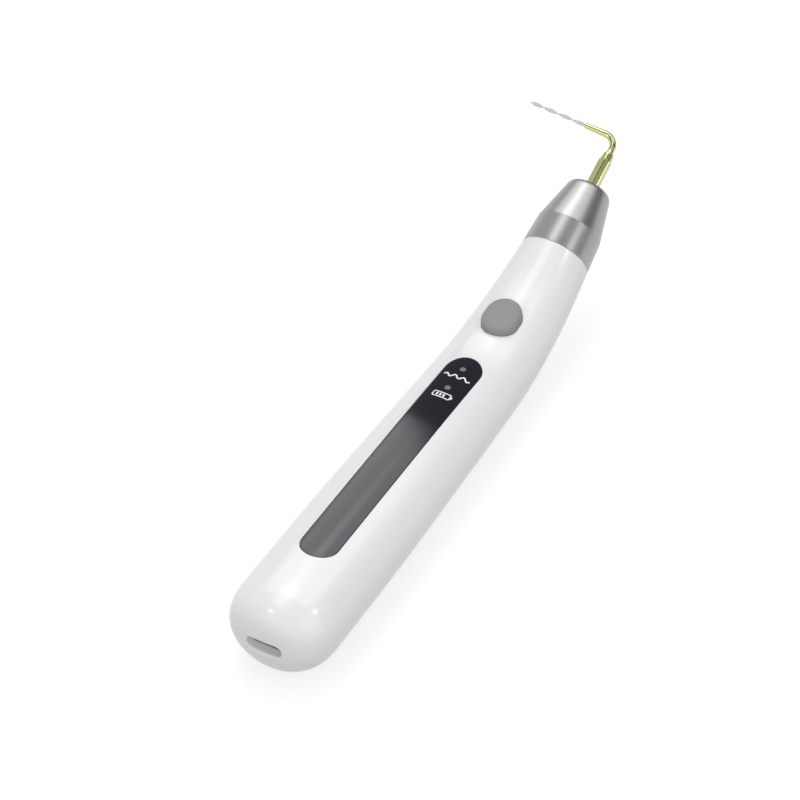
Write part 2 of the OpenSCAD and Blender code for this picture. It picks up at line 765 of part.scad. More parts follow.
// Ring of the tip's bent neck, a number of degrees round the bend and a distance past it
function neck_ring(a, past, d) =
    [for (q = [0:22.5:337.5]) let (x = d / 2 * cos(q), r = tip_bend_r - d / 2 * sin(q))
        [x, tip_bend_r - r * cos(a) + past * sin(a), arm_height - tip_bend_r + r * sin(a) + past * cos(a)]];

module tip_holder() {
    neck_len = arm_height - tip_bend_r - hex_len - collar_len;
    bend = [for (a = [0:8.9:tip_bend_deg]) neck_ring(a, 0, neck_d)];
    color([0.8, 0.77, 0.45]) on_nose() difference() {
        union() {
            translate([0, 0, hex_start]) cylinder(d = hex_af / cos(30), h = hex_len - hex_start, $fn = 6);
            translate([0, 0, hex_len]) rotate_extrude() polygon([[0, -0.5], [hex_af / 2 - 0.04, -0.5],
                [hex_af / 2 - 0.04, 0], [collar_r, collar_len - 0.7], [collar_r - 0.1, collar_len - 0.3],
                [collar_r - 0.35, collar_len], [0, collar_len]]);
            rotate([0, 0, arm_turn]) loft(concat(
                [neck_ring(0, -neck_len - 1, neck_d)],
                bend,
                [neck_ring(tip_bend_deg, arm_reach - tip_bend_r, neck_d * 0.8)]
            ));
        }
        rod(stud_r + 0.03, -1, stud_len + 0.4);
    }
}

// The file is a flat strip, twisted half a turn at a time
module tip_file() {
    length = file_reach - arm_reach;
    count = 40;
    color([0.75, 0.76, 0.78]) on_arm() loft([for (i = [0:count])
        let (a = 180 * i / count * length / file_twist, w = file_w * (i == count ? 0.35 : 1))
        [for (p = [[-w, -file_t], [w, -file_t], [w, file_t], [-w, file_t]] / 2)
            [p.x * cos(a) - p.y * sin(a), p.x * sin(a) + p.y * cos(a),
                arm_reach - tip_bend_r + length * i / count]]]);
}

main_housing();
bottom_cover();
parting_gasket();
housing_screws();
panel_window();
panel_adhesive();
light_guides();
status_leds();
power_button();
button_gasket();
switch_plunger();
tact_switch();
switch_board();
switch_ribbon();
main_board();
board_chips();
drive_transformer();
transformer_coil();
board_screws();
battery_cell();
battery_tabs();
battery_pad();
battery_leads();
usb_socket();
usb_tongue();
port_seal();
charge_board();
charge_leads();
nose_collar();
nose_cone();
nose_o_ring();
horn();
horn_seal();
flange_washers();
transducer_sleeve();
piezo_rings();
electrodes();
back_mass();
preload_bolt();
transducer_leads();
tip_holder();
tip_file();
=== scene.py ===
import math

import bmesh
import bpy
from bmesh.types import BMEdge, BMFace, BMVert
from bpy.props import FloatProperty, FloatVectorProperty, PointerProperty
from mathutils import Matrix, Vector


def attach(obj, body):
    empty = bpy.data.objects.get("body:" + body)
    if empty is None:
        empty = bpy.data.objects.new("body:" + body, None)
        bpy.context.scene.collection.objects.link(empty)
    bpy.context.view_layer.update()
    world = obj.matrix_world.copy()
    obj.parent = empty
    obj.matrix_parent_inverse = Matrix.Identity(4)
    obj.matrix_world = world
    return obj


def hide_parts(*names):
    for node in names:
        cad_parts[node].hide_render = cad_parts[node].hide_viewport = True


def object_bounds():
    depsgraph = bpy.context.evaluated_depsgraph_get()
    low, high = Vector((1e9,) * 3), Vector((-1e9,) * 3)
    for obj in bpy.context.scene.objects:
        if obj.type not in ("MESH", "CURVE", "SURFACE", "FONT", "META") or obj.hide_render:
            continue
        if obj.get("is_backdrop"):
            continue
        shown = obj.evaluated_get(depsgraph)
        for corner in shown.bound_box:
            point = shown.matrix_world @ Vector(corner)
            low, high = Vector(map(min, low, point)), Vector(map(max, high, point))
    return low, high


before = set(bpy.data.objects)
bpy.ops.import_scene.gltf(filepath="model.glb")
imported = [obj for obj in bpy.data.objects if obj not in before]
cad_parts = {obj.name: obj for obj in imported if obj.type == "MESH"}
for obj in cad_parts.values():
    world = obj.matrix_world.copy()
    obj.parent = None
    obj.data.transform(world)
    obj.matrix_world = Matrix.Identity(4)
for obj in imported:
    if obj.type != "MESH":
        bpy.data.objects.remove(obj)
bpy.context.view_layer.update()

bl_info = {
    "name": "Ultrasonic endodontic activator",
    "version": (1, 0, 0),
    "blender": (4, 5, 0),
    "location": "View3D > Sidebar > Activator",
    "description": "Builds the outer pieces, the finishes and the studio of a cordless ultrasonic activator",
    "category": "Mesh",
}

MM = 0.001

# Layout of the handle in millimetres: x = 0 at the rear end and z = 0 on the axis of its straight part.
# REST_X and REST_H are where that origin lies in the part, whose belly rests on z = 0. The half widths and
# heights are those of evenly spaced sections from the rear end to the nose. REAR_BLEND is the share of the
# full section at which the charging slot's shape has become the casing's.
REST_X = 55
REST_H = 11.45
HALF_WIDTHS = (13.5, 13.55, 12.75, 11.65, 9.25)
TOPS = (11.3, 11.05, 10.75, 9.8, 9.25)
BELLIES = (11.75, 11.75, 11.75, 11.5, 9.25)
STRAIGHT_LEN = 97.2
BEND_R = 116
BEND = math.radians(23.1)
ARC_LEN = BEND_R * BEND
BODY_LEN = STRAIGHT_LEN + ARC_LEN + 1
REAR_ROUND = 12.6
REAR_SQUARE = 2.67
REAR_BLEND = 0.62
WALL = 1.8

# Charging port, indicator panel and power button
PORT_W = 9.2
PORT_H = 3.4
PORT_Z = 0.18
PORT_DEPTH = 3
PORT_WALL = 1
PANEL_START = 21.2
PANEL_END = 99.2
PANEL_W = 9.65
PANEL_LEN = PANEL_END - PANEL_START
PANEL_MID = (PANEL_START + PANEL_END) / 2
WINDOW_T = 0.85
WINDOW_SINK = 0.03
WINDOW_GAP = 0.08
RECESS_DEPTH = 1.0
FLOOR_MARGIN = 0.35
RECESS_EDGE = 0.8
OPERATE_AT = 94.4
CHARGE_AT = 86.6
WAVE_AT = OPERATE_AT - 3.1
WAVE_W = 7
WAVE_SWING = 0.5
WAVE_STROKE = 0.42
CELL_AT = CHARGE_AT - 3
CELL_W = 4.6
CELL_H = 1.7
CELL_CORNER_R = 0.35
CELL_STROKE = 0.32
KNOB_STROKE = 0.3
KNOB_HALF = 0.4
BARS = (1.25, 0.35, -0.55)
BAR_STROKE = 0.5
BAR_HALF = 0.45
MARK_PROUD = 0.015
MARK_SUNK = 0.02
STROKE_STEP = 0.3
BUTTON_AT = 116.3
BUTTON_LEN = 11.3
BUTTON_W = 9.4
BUTTON_TOP = 12.03
CROWN_ALONG = 32
CROWN_ACROSS = 13.3
FLANGE_EDGE = 1.05
FLANGE_BOTTOM = 6
FLANGE_TOP = 6.95
SEAT_EDGE = 1.35
SEAT_HEIGHT = 7.3
BUTTON_GAP = 0.05
CHAMFER = 0.1
POST_R = 1.4
POST_LEN = 0.4

# Bottom cover and its screws
PARTING_Z = -6
PARTING_GAP = 0.15
COVER_REAR = 14
COVER_FRONT = 122
COVER_CORNER_R = 2.5
SCREW_X = (75.5, 104.5)
SCREW_R = 1
HEAD_R = 1.9
HEAD_H = 1.5
HEAD_SEAT_Z = -9
HEAD_EDGE = 0.3
CROSS_ARM = 1.15
CROSS_HALF = 0.27
CROSS_DEPTH = 0.85
CROSS_TAPER = 0.75
SCREW_POINT = 0.6
SCREW_PLAY = 0.15
BOSS_R = 3.2
BOSS_DROP = 0.05

# Nose and tip, along the nose's axis from its front face
NOSE_LEN = 21.95
NOSE_R = 9.25
NOSE_REAR_LEN = 8.4
NOSE_WAIST_R = 8.77
SHOULDER_R = 6.08
SHOULDER_H = -2.1
FACE_R = 5.63
FACE_H = -1
SEAL_R = 3.2
SEAL_START = -1.2
SEAL_END = -4
NOSE_HOLE_R = 2.15
BORE_R = 7.45
BORE_LEN = 11
BORE_CHAMFER = 0.2
CAVITY_R = 6.2
THREAD_R = 7.65
CLAMP_H = -13.3
HEX_AF = 3.2
HEX_START = -0.15
HEX_LEN = 8.6
HEX_END_R = 1.6
HEX_FULL = 0.4
COLLAR_FOOT_R = 1.56
COLLAR_LEN = 2.3
COLLAR_R = 1.45
COLLAR_EDGE = 0.7
NECK_D = 1.8
ARM_HEIGHT = 15.8
TIP_BEND_R = 3.4
TIP_BEND = math.radians(89)
ARM_TURN = math.radians(9)
ARM_REACH = 9.3
ARM_TAPER = 0.2
FILE_REACH = 25
FILE_W = 1.1
FILE_T = 0.28
FILE_TWIST = 4.2
FILE_ROOT = 0.4
FILE_END = 1.2
FILE_END_SHARE = 0.35
STUD_HOLE_R = 1.53
STUD_HOLE_END = 4.8

# Fineness of the meshes: points round the casing and the panel, the distance at which a ring holds the
# surface beside a rounding, the space that an opening leaves for the faces that join it, and the sides
# from which a fill looks at its band
AROUND = 128
PANEL_AROUND = 320
HOLD = 0.06
SPARE = 0.3
PANEL_SPARE = 0.25
SEAM_NUMBERS = 10000
GLANCES = ((0.011, 0.007, 0.005), (-0.017, 0.023, 0.009), (0.031, -0.013, 0.02), (0, 0, 0))
BELOW_ALL = -30

# Studio: the floor, and the camera's azimuth, elevation and roll, its lens, and where it aims
FLOOR_GREY = 0.3
FLOOR_SEEN_GREY = 0.35
FLOOR_GLOW = 0.72
FLOOR_GAP = 0.0001
CAMERA_TURNS = (-60.26, 42.65, -0.58)
CAMERA_LENS = 127.1
CAMERA_DISTANCE = 689.1
CAMERA_AIM = 83.08
CAMERA_LEFT = 9.88
CAMERA_UP = 6.71


# ---------------------------------------------------------------- shape of the handle

def turn(s):
    """Angle that the handle has bent through at a distance along its axis."""
    return min(max(s - STRAIGHT_LEN, 0) / ARC_LEN, 1) * BEND


def axis_point(s):
    """Place of the handle's axis a distance along it, as x and z."""
    past = max(s - STRAIGHT_LEN - ARC_LEN, 0)
    t = turn(s)
    return (
        min(s, STRAIGHT_LEN) + BEND_R * math.sin(t) + past * math.cos(t),
        BEND_R * (1 - math.cos(t)) + past * math.sin(t),
    )


def end_slope(d, following):
    """Slope at the end of a smooth curve, from the steps between its last values."""
    m = (3 * d - following) / 2
    if m * d <= 0:
        return 0
    return m if d * following > 0 else math.copysign(min(abs(m), 3 * abs(d)), m)


def slope(v, i):
    """Slope at a value of a smooth curve that doesn't swing past its values."""
    if i == 0:
        return end_slope(v[1] - v[0], v[2] - v[1])
    if i == len(v) - 1:
        return end_slope(v[-1] - v[-2], v[-2] - v[-3])
    before, after = v[i] - v[i - 1], v[i + 1] - v[i]
    return 0 if before * after <= 0 else 2 * before * after / (before + after)


def along(v, s):
    """Smooth curve through evenly spaced values of the handle's size."""
    f = min(max(s / BODY_LEN, 0), 1) * (len(v) - 1)
    i = min(int(f), len(v) - 2)
    t = f - i
    return (
        v[i] * (1 + 2 * t) * (1 - t) ** 2 + slope(v, i) * t * (1 - t) ** 2
        + v[i + 1] * t * t * (3 - 2 * t) + slope(v, i + 1) * t * t * (t - 1)
    )


def rear_open(s):
    """Share of its full section that the casing has at a distance from its rear end."""
    if s >= REAR_ROUND:
        return 1
    return (1 - (1 - max(s, 0) / REAR_ROUND) ** REAR_SQUARE) ** (1 / REAR_SQUARE)


def rear_depth(share):
    """How far from the rear end the casing has opened to a share of its full section."""
    return REAR_ROUND * (1 - (1 - min(share, 1) ** REAR_SQUARE) ** (1 / REAR_SQUARE))


def half_height(s, up):
    return along(TOPS if up else BELLIES, s)


def lift(s, y, h):
    """Point at a place along the axis, a distance to its left and a height square to it."""
    x, z = axis_point(s)
    t = turn(s)
    return Vector((x - h * math.sin(t), y, z + h * math.cos(t)))


def skin(s, a, depth=0):
    """Point of the casing at an angle round the axis, from its left side over the top."""
    h = (half_height(s, math.sin(a) >= 0) - depth) * rear_open(s) * math.sin(a)
    return lift(s, (along(HALF_WIDTHS, s) - depth) * rear_open(s) * math.cos(a), h)


def station(p):
    """Place along the axis, distance to the left and height square to the axis of a point."""
    t = math.atan2(p.x - STRAIGHT_LEN, BEND_R - p.z)
    if t <= 0:
        return p.x, p.y, p.z
    if t < BEND:
        return STRAIGHT_LEN + BEND_R * t, p.y, BEND_R - math.hypot(p.x - STRAIGHT_LEN, BEND_R - p.z)
    x, z = axis_point(STRAIGHT_LEN + ARC_LEN)
    dx, dz = p.x - x, p.z - z
    return (
        STRAIGHT_LEN + ARC_LEN + dx * math.cos(BEND) + dz * math.sin(BEND),
        p.y,
        dz * math.cos(BEND) - dx * math.sin(BEND),
    )


def to_skin(p):
    """Nearest point of the casing's skin in the section that a point lies in."""
    s, y, h = station(p)
    share = math.hypot(y / along(HALF_WIDTHS, s), h / half_height(s, h >= 0)) / rear_open(s)
    return lift(s, y / share, h / share)


def seam_shift(s):
    """How much further round the inner skin reaches the parting plane than the outer one does."""
    h = (PARTING_Z - axis_point(s)[1]) / math.cos(turn(s))
    full = half_height(s, False)
    outer = math.asin(max(h / full, -0.97))
    return outer, math.asin(max(h / (full - WALL), -0.98)) - outer


def to_inner(p):
    """Point of the inner skin that belongs to a point of the outer one, level at the parting plane."""
    s, y, h = station(p)
    w, full = along(HALF_WIDTHS, s), half_height(s, h >= 0)
    share = math.hypot(y / w, h / full)
    a = math.atan2(h / full, abs(y) / w)
    if a < 0:
        seam, shift = seam_shift(max(s, 1))
        a += shift * (a / seam if a > seam else (math.pi / 2 + a) / (math.pi / 2 + seam))
    s = s if s >= REAR_ROUND else WALL + s * (REAR_ROUND - WALL) / REAR_ROUND
    return lift(s, math.copysign((w - WALL) * share * math.cos(a), y), (full - WALL) * share * math.sin(a))


def landing(frame_at, u, v, depth, side=1):
    """Point of the casing straight above or below a place in a frame that stands on the axis."""
    back = frame_at.inverted()
    s = station(frame_at @ Vector((u, v, 0)))[0]
    for _ in range(12):
        w = along(HALF_WIDTHS, s) - depth
        a = side * math.acos(max(min(v / w, 1), -1))
        p = skin(s, a, depth)
        s += u - (back @ p).x
    if depth == 0:
        p.z = max(p.z, -REST_H)
    return p


def outward(p):
    """Direction straight out of the casing at a point of its skin."""
    s, y, h = station(p)
    w, full = along(HALF_WIDTHS, s), half_height(s, h >= 0)
    a = math.atan2(h / full, y / w)
    step = 0.01
    across = skin(s, a + step) - skin(s, a - step)
    ahead = skin(s + step, a) - skin(s - step, a)
    n = across.cross(ahead).normalized()
    return n if n.dot(lift(s, y, h) - lift(s, 0, 0)) > 0 else -n


PLACE = Matrix.Scale(MM, 4) @ Matrix.Translation((-REST_X, 0, REST_H))
LEVEL = Matrix.Identity(4)
PANEL_FRAME = Matrix.Translation((PANEL_MID, 0, 0))


def standing_on(s):
    """Frame on the axis whose Z stands square to the handle."""
    x, z = axis_point(s)
    return Matrix.Translation((x, 0, z)) @ Matrix.Rotation(-turn(s), 4, "Y")


def nose_frame():
    x, z = axis_point(BODY_LEN)
    return (
        Matrix.Translation((x, 0, z))
        @ Matrix.Rotation(math.pi / 2 - BEND, 4, "Y")
        @ Matrix.Translation((0, 0, NOSE_LEN))
    )


def arm_frame():
    return (
        nose_frame()
        @ Matrix.Rotation(ARM_TURN, 4, "Z")
        @ Matrix.Translation((0, TIP_BEND_R, ARM_HEIGHT - TIP_BEND_R))
        @ Matrix.Rotation(-TIP_BEND, 4, "X")
        @ Matrix.Translation((0, -TIP_BEND_R, 0))
    )


# ---------------------------------------------------------------- mesh making

def circle_points(radius, count=96):
    return [
        (radius * math.cos(2 * math.pi * i / count), radius * math.sin(2 * math.pi * i / count))
        for i in range(count)
    ]


def stadium_points(length, width, count):
    """Outline with round ends, longer along its first axis, evenly spaced from the middle of an end."""
    straight, quarter = length - width, math.pi * width / 4
    total = 2 * straight + 4 * quarter
    points = []
    for i in range(count):
        d = total * i / count
        half = d < total / 2
        d = d if half else d - total / 2
        if d < quarter:
            a = d / (width / 2)
            p = (straight / 2 + width / 2 * math.cos(a), width / 2 * math.sin(a))
        elif d < quarter + straight:
            p = (straight / 2 - (d - quarter), width / 2)
        else:
            a = math.pi / 2 + (d - quarter - straight) / (width / 2)
            p = (-straight / 2 + width / 2 * math.cos(a), width / 2 * math.sin(a))
        points.append(p if half else (-p[0], -p[1]))
    return points


def button_outline(grow):
    return stadium_points(BUTTON_LEN + 2 * grow, BUTTON_W + 2 * grow, 96)


def stadium_distance(p, length, width):
    """How far a place lies outside an outline with round ends, or inside it if negative."""
    reach = (length - width) / 2
    return math.hypot(max(abs(p[0]) - reach, 0), p[1]) - width / 2


def level_ring(outline, h, at=LEVEL):
    """Points of a flat outline at a height in a frame."""
    return [at @ Vector((u, v, h)) for u, v in outline]


def only(geom, kind):
    return [g for g in geom if isinstance(g, kind)]


def whole(faces):
    """Faces with their edges and vertices."""
    return list({g for f in faces for g in (f, *f.edges, *f.verts)})


def new_mesh():
    """Empty mesh. Its layers number the vertices round a ring and tell the casing's inner faces."""
    bm = bmesh.new()
    bm.verts.layers.int.new("place")
    bm.faces.layers.int.new("inner")
    return bm


def start_ring(bm, points, cap=False):
    """Closed loop of edges through points. Each vertex is numbered by its place round the loop."""
    place = bm.verts.layers.int["place"]
    made = bmesh.ops.create_circle(bm, cap_ends=cap, segments=len(points), radius=1)
    for v in made["verts"]:
        v[place] = round(math.atan2(-v.co.x, v.co.y) / (2 * math.pi) * len(points)) % len(points)
        v.co = points[v[place]]
    return list({e for v in made["verts"] for e in v.link_edges})


def next_ring(bm, edges, points):
    """Extrudes a loop of edges to new points, given in order or by each vertex's number."""
    place = bm.verts.layers.int["place"]
    made = bmesh.ops.extrude_edge_only(bm, edges=edges)["geom"]
    for v in only(made, BMVert):
        v.co = points[v[place]]
    return [e for e in only(made, BMEdge) if e.is_boundary]


def next_rings(bm, edges, rings):
    for points in rings:
        edges = next_ring(bm, edges, points)
    return edges


def close_ring(bm, edges):
    bmesh.ops.contextual_create(bm, geom=edges)


def lofted(bm, rings):
    """Closed skin through rings of the same number of points."""
    close_ring(bm, next_rings(bm, start_ring(bm, rings[0], cap=True), rings[1:]))


def places(bm, edges):
    """Where the vertices of some edges are, by their numbers."""
    place = bm.verts.layers.int["place"]
    return {v[place]: v.co.copy() for e in edges for v in e.verts}


def fill_between(bm, edges, up):
    """Fills the band between two loops of edges, and gives its faces.

    Loops that mirror each other can confuse the fill, so it looks at them a little from the side."""
    wanted = {e: len(e.link_faces) + 1 for e in edges}
    for tilt in GLANCES:
        made = bmesh.ops.triangle_fill(
            bm, use_beauty=True, use_dissolve=False, edges=edges, normal=up + Vector(tilt))["geom"]
        faces = only(made, BMFace)
        used = {e for f in faces for e in f.edges} | set(wanted)
        if all(len(e.link_faces) == wanted.get(e, 2) for e in used):
            return faces
        bmesh.ops.delete(bm, geom=faces, context="FACES_ONLY")
        spare = [e for e in only(made, BMEdge) if e.is_valid and e not in wanted]
        bmesh.ops.delete(bm, geom=spare, context="EDGES")
    raise RuntimeError("the band between two outlines could not be filled")


def open_skin(bm, where, side, inner, covers, points):
    """Takes the casing's faces away round an outline and joins the rest to a new loop on it."""
    layer = bm.faces.layers.int["inner"]
    back = where.inverted()
    near = set()
    for f in bm.faces:
        if f[layer] == inner:
            local = [back @ v.co for v in f.verts]
            if all(p.z * side > 0 for p in local) and any(covers(p) for p in local):
                near.add(f)
    rim = [e for e in {e for f in near for e in f.edges} if any(f not in near for f in e.link_faces)]
    bmesh.ops.delete(bm, geom=list(near), context="FACES")
    loop = start_ring(bm, points)
    up = (where.to_3x3() @ Vector((0, 0, side))).normalized()
    for f in fill_between(bm, rim + loop, up):
        f[layer] = inner
    return loop


def lip_steps(r, count=4):
    """Sideways and downward moves of a quarter-round edge, from none on."""
    turns = [math.pi / 2 * i / count for i in range(count + 1)]
    return [(r * math.sin(t), r * (1 - math.cos(t))) for t in turns]


def fillet(points, steps):
    """Outline whose corners, given as (x, y, radius), are rounded."""
    made = []
    for i, (x, y, r) in enumerate(points):
        p = Vector((x, y))
        if r == 0:
            made.append(p)
            continue
        to_last = (Vector(points[i - 1][:2]) - p).normalized()
        to_next = (Vector(points[(i + 1) % len(points)][:2]) - p).normalized()
        half = to_last.angle(to_next) / 2
        centre = p + (to_last + to_next).normalized() * r / math.sin(half)
        start = p + to_last * r / math.tan(half) - centre
        end = p + to_next * r / math.tan(half) - centre
        made += [centre + start.slerp(end, k / steps) * r for k in range(steps + 1)]
    return made


def turned(bm, outline, steps):
    """Spins a closed outline of (radius, height) right round the Z axis."""
    verts = [bm.verts.new((p[0], 0, p[1])) for p in outline]
    edges = [bm.edges.new(pair) for pair in zip(verts, verts[1:] + verts[:1])]
    bmesh.ops.spin(
        bm, geom=verts + edges, cent=(0, 0, 0), axis=(0, 0, 1),
        angle=2 * math.pi, steps=steps, use_merge=True, use_duplicate=False,
    )


def finish_piece(name, bm, material, body, node, at=LEVEL, stands_for=True, sharp=32):
    """Turns a closed mesh in a frame of the layout into a piece that dresses a node."""
    bmesh.ops.remove_doubles(bm, verts=bm.verts[:], dist=1e-4)
    bmesh.ops.dissolve_degenerate(bm, edges=bm.edges[:], dist=1e-5)
    open_edges = [e for e in bm.edges if not e.is_manifold]
    if open_edges:
        where = [tuple(round(c, 2) for c in e.verts[0].co) for e in open_edges[:4]]
        raise RuntimeError(f"{name} has {len(open_edges)} open edges, the first at {where}")
    bmesh.ops.transform(bm, matrix=PLACE @ at, verts=bm.verts[:])
    bmesh.ops.recalc_face_normals(bm, faces=bm.faces[:])
    if bm.calc_volume(signed=True) < 0:
        bmesh.ops.reverse_faces(bm, faces=bm.faces[:])
    for f in bm.faces:
        f.smooth = True
    mesh = bpy.data.meshes.new(name)
    bm.to_mesh(mesh)
    bm.free()
    mesh.set_sharp_from_angle(angle=math.radians(sharp))
    mesh.materials.append(material)
    piece = bpy.data.objects.new(name, mesh)
    bpy.context.scene.collection.objects.link(piece)
    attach(piece, body)
    if stands_for:
        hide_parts(node)


# ---------------------------------------------------------------- casing

def rear_point(y, z, inwards=0):
    """Point of the casing's rear end, or a distance straight in from it."""
    high = TOPS[0] if z >= 0 else BELLIES[0]
    return Vector((rear_depth(math.hypot(y / HALF_WIDTHS[0], z / high)) + inwards, y, z))


def slot_outline(grow):
    """Outline of the charging slot grown by a distance, as y and z."""
    return [(y, z + PORT_Z) for y, z in stadium_points(PORT_W + 2 * grow, PORT_H + 2 * grow, AROUND)]


def skin_ring(s, depth=0):
    return [skin(s, 2 * math.pi * i / AROUND, depth) for i in range(AROUND)]


def rear_rings(edge):
    """Rings from the edge of the charging slot out to where the casing is at its full section."""
    rings = []
    # From the slot's shape to a section's, with the first step small to hold the slot's edge
    for k in range(10):
        t = 0 if k == 0 else (0.04 + 0.96 * (k - 1) / 8) ** 1.15
        ring = []
        for i, (y, z) in enumerate(slot_outline(edge)):
            a = 2 * math.pi * i / AROUND
            top = TOPS[0] if math.sin(a) >= 0 else BELLIES[0]
            y += t * (REAR_BLEND * HALF_WIDTHS[0] * math.cos(a) - y)
            z += t * (REAR_BLEND * top * math.sin(a) - z)
            ring.append(rear_point(y, z))
        rings.append(ring)
    # From there to the full section, in even turns round the rear end
    first = math.asin(REAR_BLEND ** (REAR_SQUARE / 2))
    turns = 27
    for k in range(1, turns):
        q = first + (math.pi / 2 - first) * k / turns
        rings.append(skin_ring(REAR_ROUND * (1 - math.cos(q) ** (2 / REAR_SQUARE))))
    return rings


def spaced(start, end, count):
    """Evenly spaced values past a start, up to an end."""
    return [start + (end - start) * i / count for i in range(1, count + 1)]


def whole_skin(port_edge, front_edge):
    """Outer skin of the casing, open at the charging slot and at the nose."""
    bore_stop, last = BODY_LEN - BORE_LEN, BODY_LEN - front_edge - HOLD
    stops = [REAR_ROUND] + spaced(REAR_ROUND, STRAIGHT_LEN, 94)
    stops += spaced(STRAIGHT_LEN, bore_stop, 44) + spaced(bore_stop, last, 13)
    rings = rear_rings(port_edge + HOLD) + [skin_ring(s) for s in stops]
    bm = new_mesh()
    next_rings(bm, start_ring(bm, rings[0]), rings[1:])
    return bm


def cover_outline(grow):
    """Corners of the bottom cover's opening seen from the side, as x and z, grown by a distance."""
    r = COVER_CORNER_R + grow
    turns = [math.pi / 2 * k / 6 for k in range(7)]
    rear = [(COVER_REAR + COVER_CORNER_R - r * math.cos(t), PARTING_Z - COVER_CORNER_R + r * math.sin(t))
            for t in turns]
    front = [(COVER_FRONT + COVER_REAR - x, z) for x, z in reversed(rear)]
    return [(rear[0][0], BELOW_ALL)] + rear + front + [(front[-1][0], BELOW_ALL)]


def cut_outline(bm, corners):
    """Cuts the skin along an outline seen from the side, and gives the faces inside it."""
    inside = bm.faces[:]
    lines = sorted(zip(corners, corners[1:]), key=lambda line: -math.dist(*line))
    for (x0, z0), (x1, z1) in lines:
        normal = Vector((z0 - z1, 0, x1 - x0)).normalized()
        point = Vector((x0, 0, z0))
        made = bmesh.ops.bisect_plane(bm, geom=whole(inside), dist=1e-5, plane_co=point, plane_no=normal)
        for v in only(made["geom_cut"], BMVert):
            v.co = to_skin(v.co)
        inside = [f for f in only(made["geom"], BMFace) if (f.calc_center_median() - point).dot(normal) < 0]
    return set(inside)


def seam_direction(p):
    """Direction out of the bottom cover's opening, square to the seam as seen from the side."""
    low = PARTING_Z - COVER_CORNER_R
    if p.z >= low and COVER_REAR + COVER_CORNER_R < p.x < COVER_FRONT - COVER_CORNER_R:
        return Vector((0, 0, 1))
    x = COVER_REAR + COVER_CORNER_R if p.x < PANEL_MID else COVER_FRONT - COVER_CORNER_R
    return Vector((p.x - x, 0, max(p.z - low, 0))).normalized()


def add_inner(bm):
    """Adds the inner skin, with the same faces as the outer one."""
    inner = bm.faces.layers.int["inner"]
    made = bmesh.ops.duplicate(bm, geom=bm.faces[:] + bm.edges[:] + bm.verts[:])["geom"]
    for v in only(made, BMVert):
        v.co = to_inner(v.co)
    for f in only(made, BMFace):
        f[inner] = 1


def boundary(bm, inner):
    """Open edges of the outer skin or of the inner one."""
    layer = bm.faces.layers.int["inner"]
    return [e for e in bm.edges if e.is_boundary and e.link_faces[0][layer] == inner]


def is_seam(e):
    return all(COVER_REAR - 1 < v.co.x < COVER_FRONT + 1 and v.co.z < PARTING_Z + 1 for v in e.verts)


def is_rear(e):
    return e.verts[0].co.x < REAR_ROUND


def is_front(e):
    return e.verts[0].co.x > COVER_FRONT and e.verts[0].co.z > PARTING_Z + 1


def number_seam(bm, edges):
    """Gives each vertex on a seam a number of its own, above the numbers of the rings."""
    place = bm.verts.layers.int["place"]
    for i, v in enumerate({v for e in edges for v in e.verts}):
        v[place] = SEAM_NUMBERS + i


def close_seam(bm, sign, edge):
    """Rounds the outer skin's edge along the seam and closes the wall to the inner skin."""
    place = bm.verts.layers.int["place"]
    outer = [e for e in boundary(bm, 0) if is_seam(e)]
    inner = [e for e in boundary(bm, 1) if all(v[place] >= SEAM_NUMBERS for v in e.verts)]
    base, target = places(bm, outer), places(bm, inner)
    away = {k: seam_direction(p) * sign for k, p in base.items()}
    out = {k: outward(p) for k, p in base.items()}
    held = {k: to_skin(p + away[k] * HOLD) for k, p in base.items()}
    for p in held.values():
        p.z = max(p.z, -REST_H)
    rings = [{k: p + away[k] * move - out[k] * drop for k, p in held.items()}
             for move, drop in lip_steps(edge)]
    next_rings(bm, outer, rings + [target])


def flatten_belly(bm):
    """Flattens the outer skin where the handle rests."""
    inner = bm.faces.layers.int["inner"]
    for v in bm.verts:
        if v.co.z < -REST_H and any(f[inner] == 0 for f in v.link_faces):
            v.co.z = -REST_H


def casing_skins(edge, port_edge):
    """Outer skins of the main housing and of the bottom cover."""
    bm = whole_skin(port_edge, edge)
    part = bm.faces.layers.int.new("part")
    bmesh.ops.bisect_plane(
        bm, geom=bm.faces[:] + bm.edges[:] + bm.verts[:], dist=1e-5,
        plane_co=(0, 0, -REST_H), plane_no=(0, 0, 1),
    )
    for f in bm.faces:
        f[part] = 1
    for f in cut_outline(bm, cover_outline(PARTING_GAP + edge + HOLD)):
        f[part] = 0
    for f in cut_outline(bm, cover_outline(-edge - HOLD)):
        f[part] = 2
    skins = []
    for number in (1, 2):
        one = bm.copy()
        layer = one.faces.layers.int["part"]
        bmesh.ops.delete(one, geom=[f for f in one.faces if f[layer] != number], context="FACES")
        skins.append(one)
    bm.free()
    return skins


def close_slot(bm, edge):
    """Rounds the charging slot's edge, and takes it straight in through the collar inside the casing."""
    loop = [e for e in boundary(bm, 0) if is_rear(e)]
    target = places(bm, [e for e in boundary(bm, 1) if is_rear(e)])
    rings = [[rear_point(y, z, drop) for y, z in slot_outline(edge - move)] for move, drop in lip_steps(edge)]
    rings += [[Vector((PORT_DEPTH, y, z)) for y, z in slot_outline(grow)] for grow in (0, PORT_WALL)]
    next_rings(bm, loop, rings + [target])


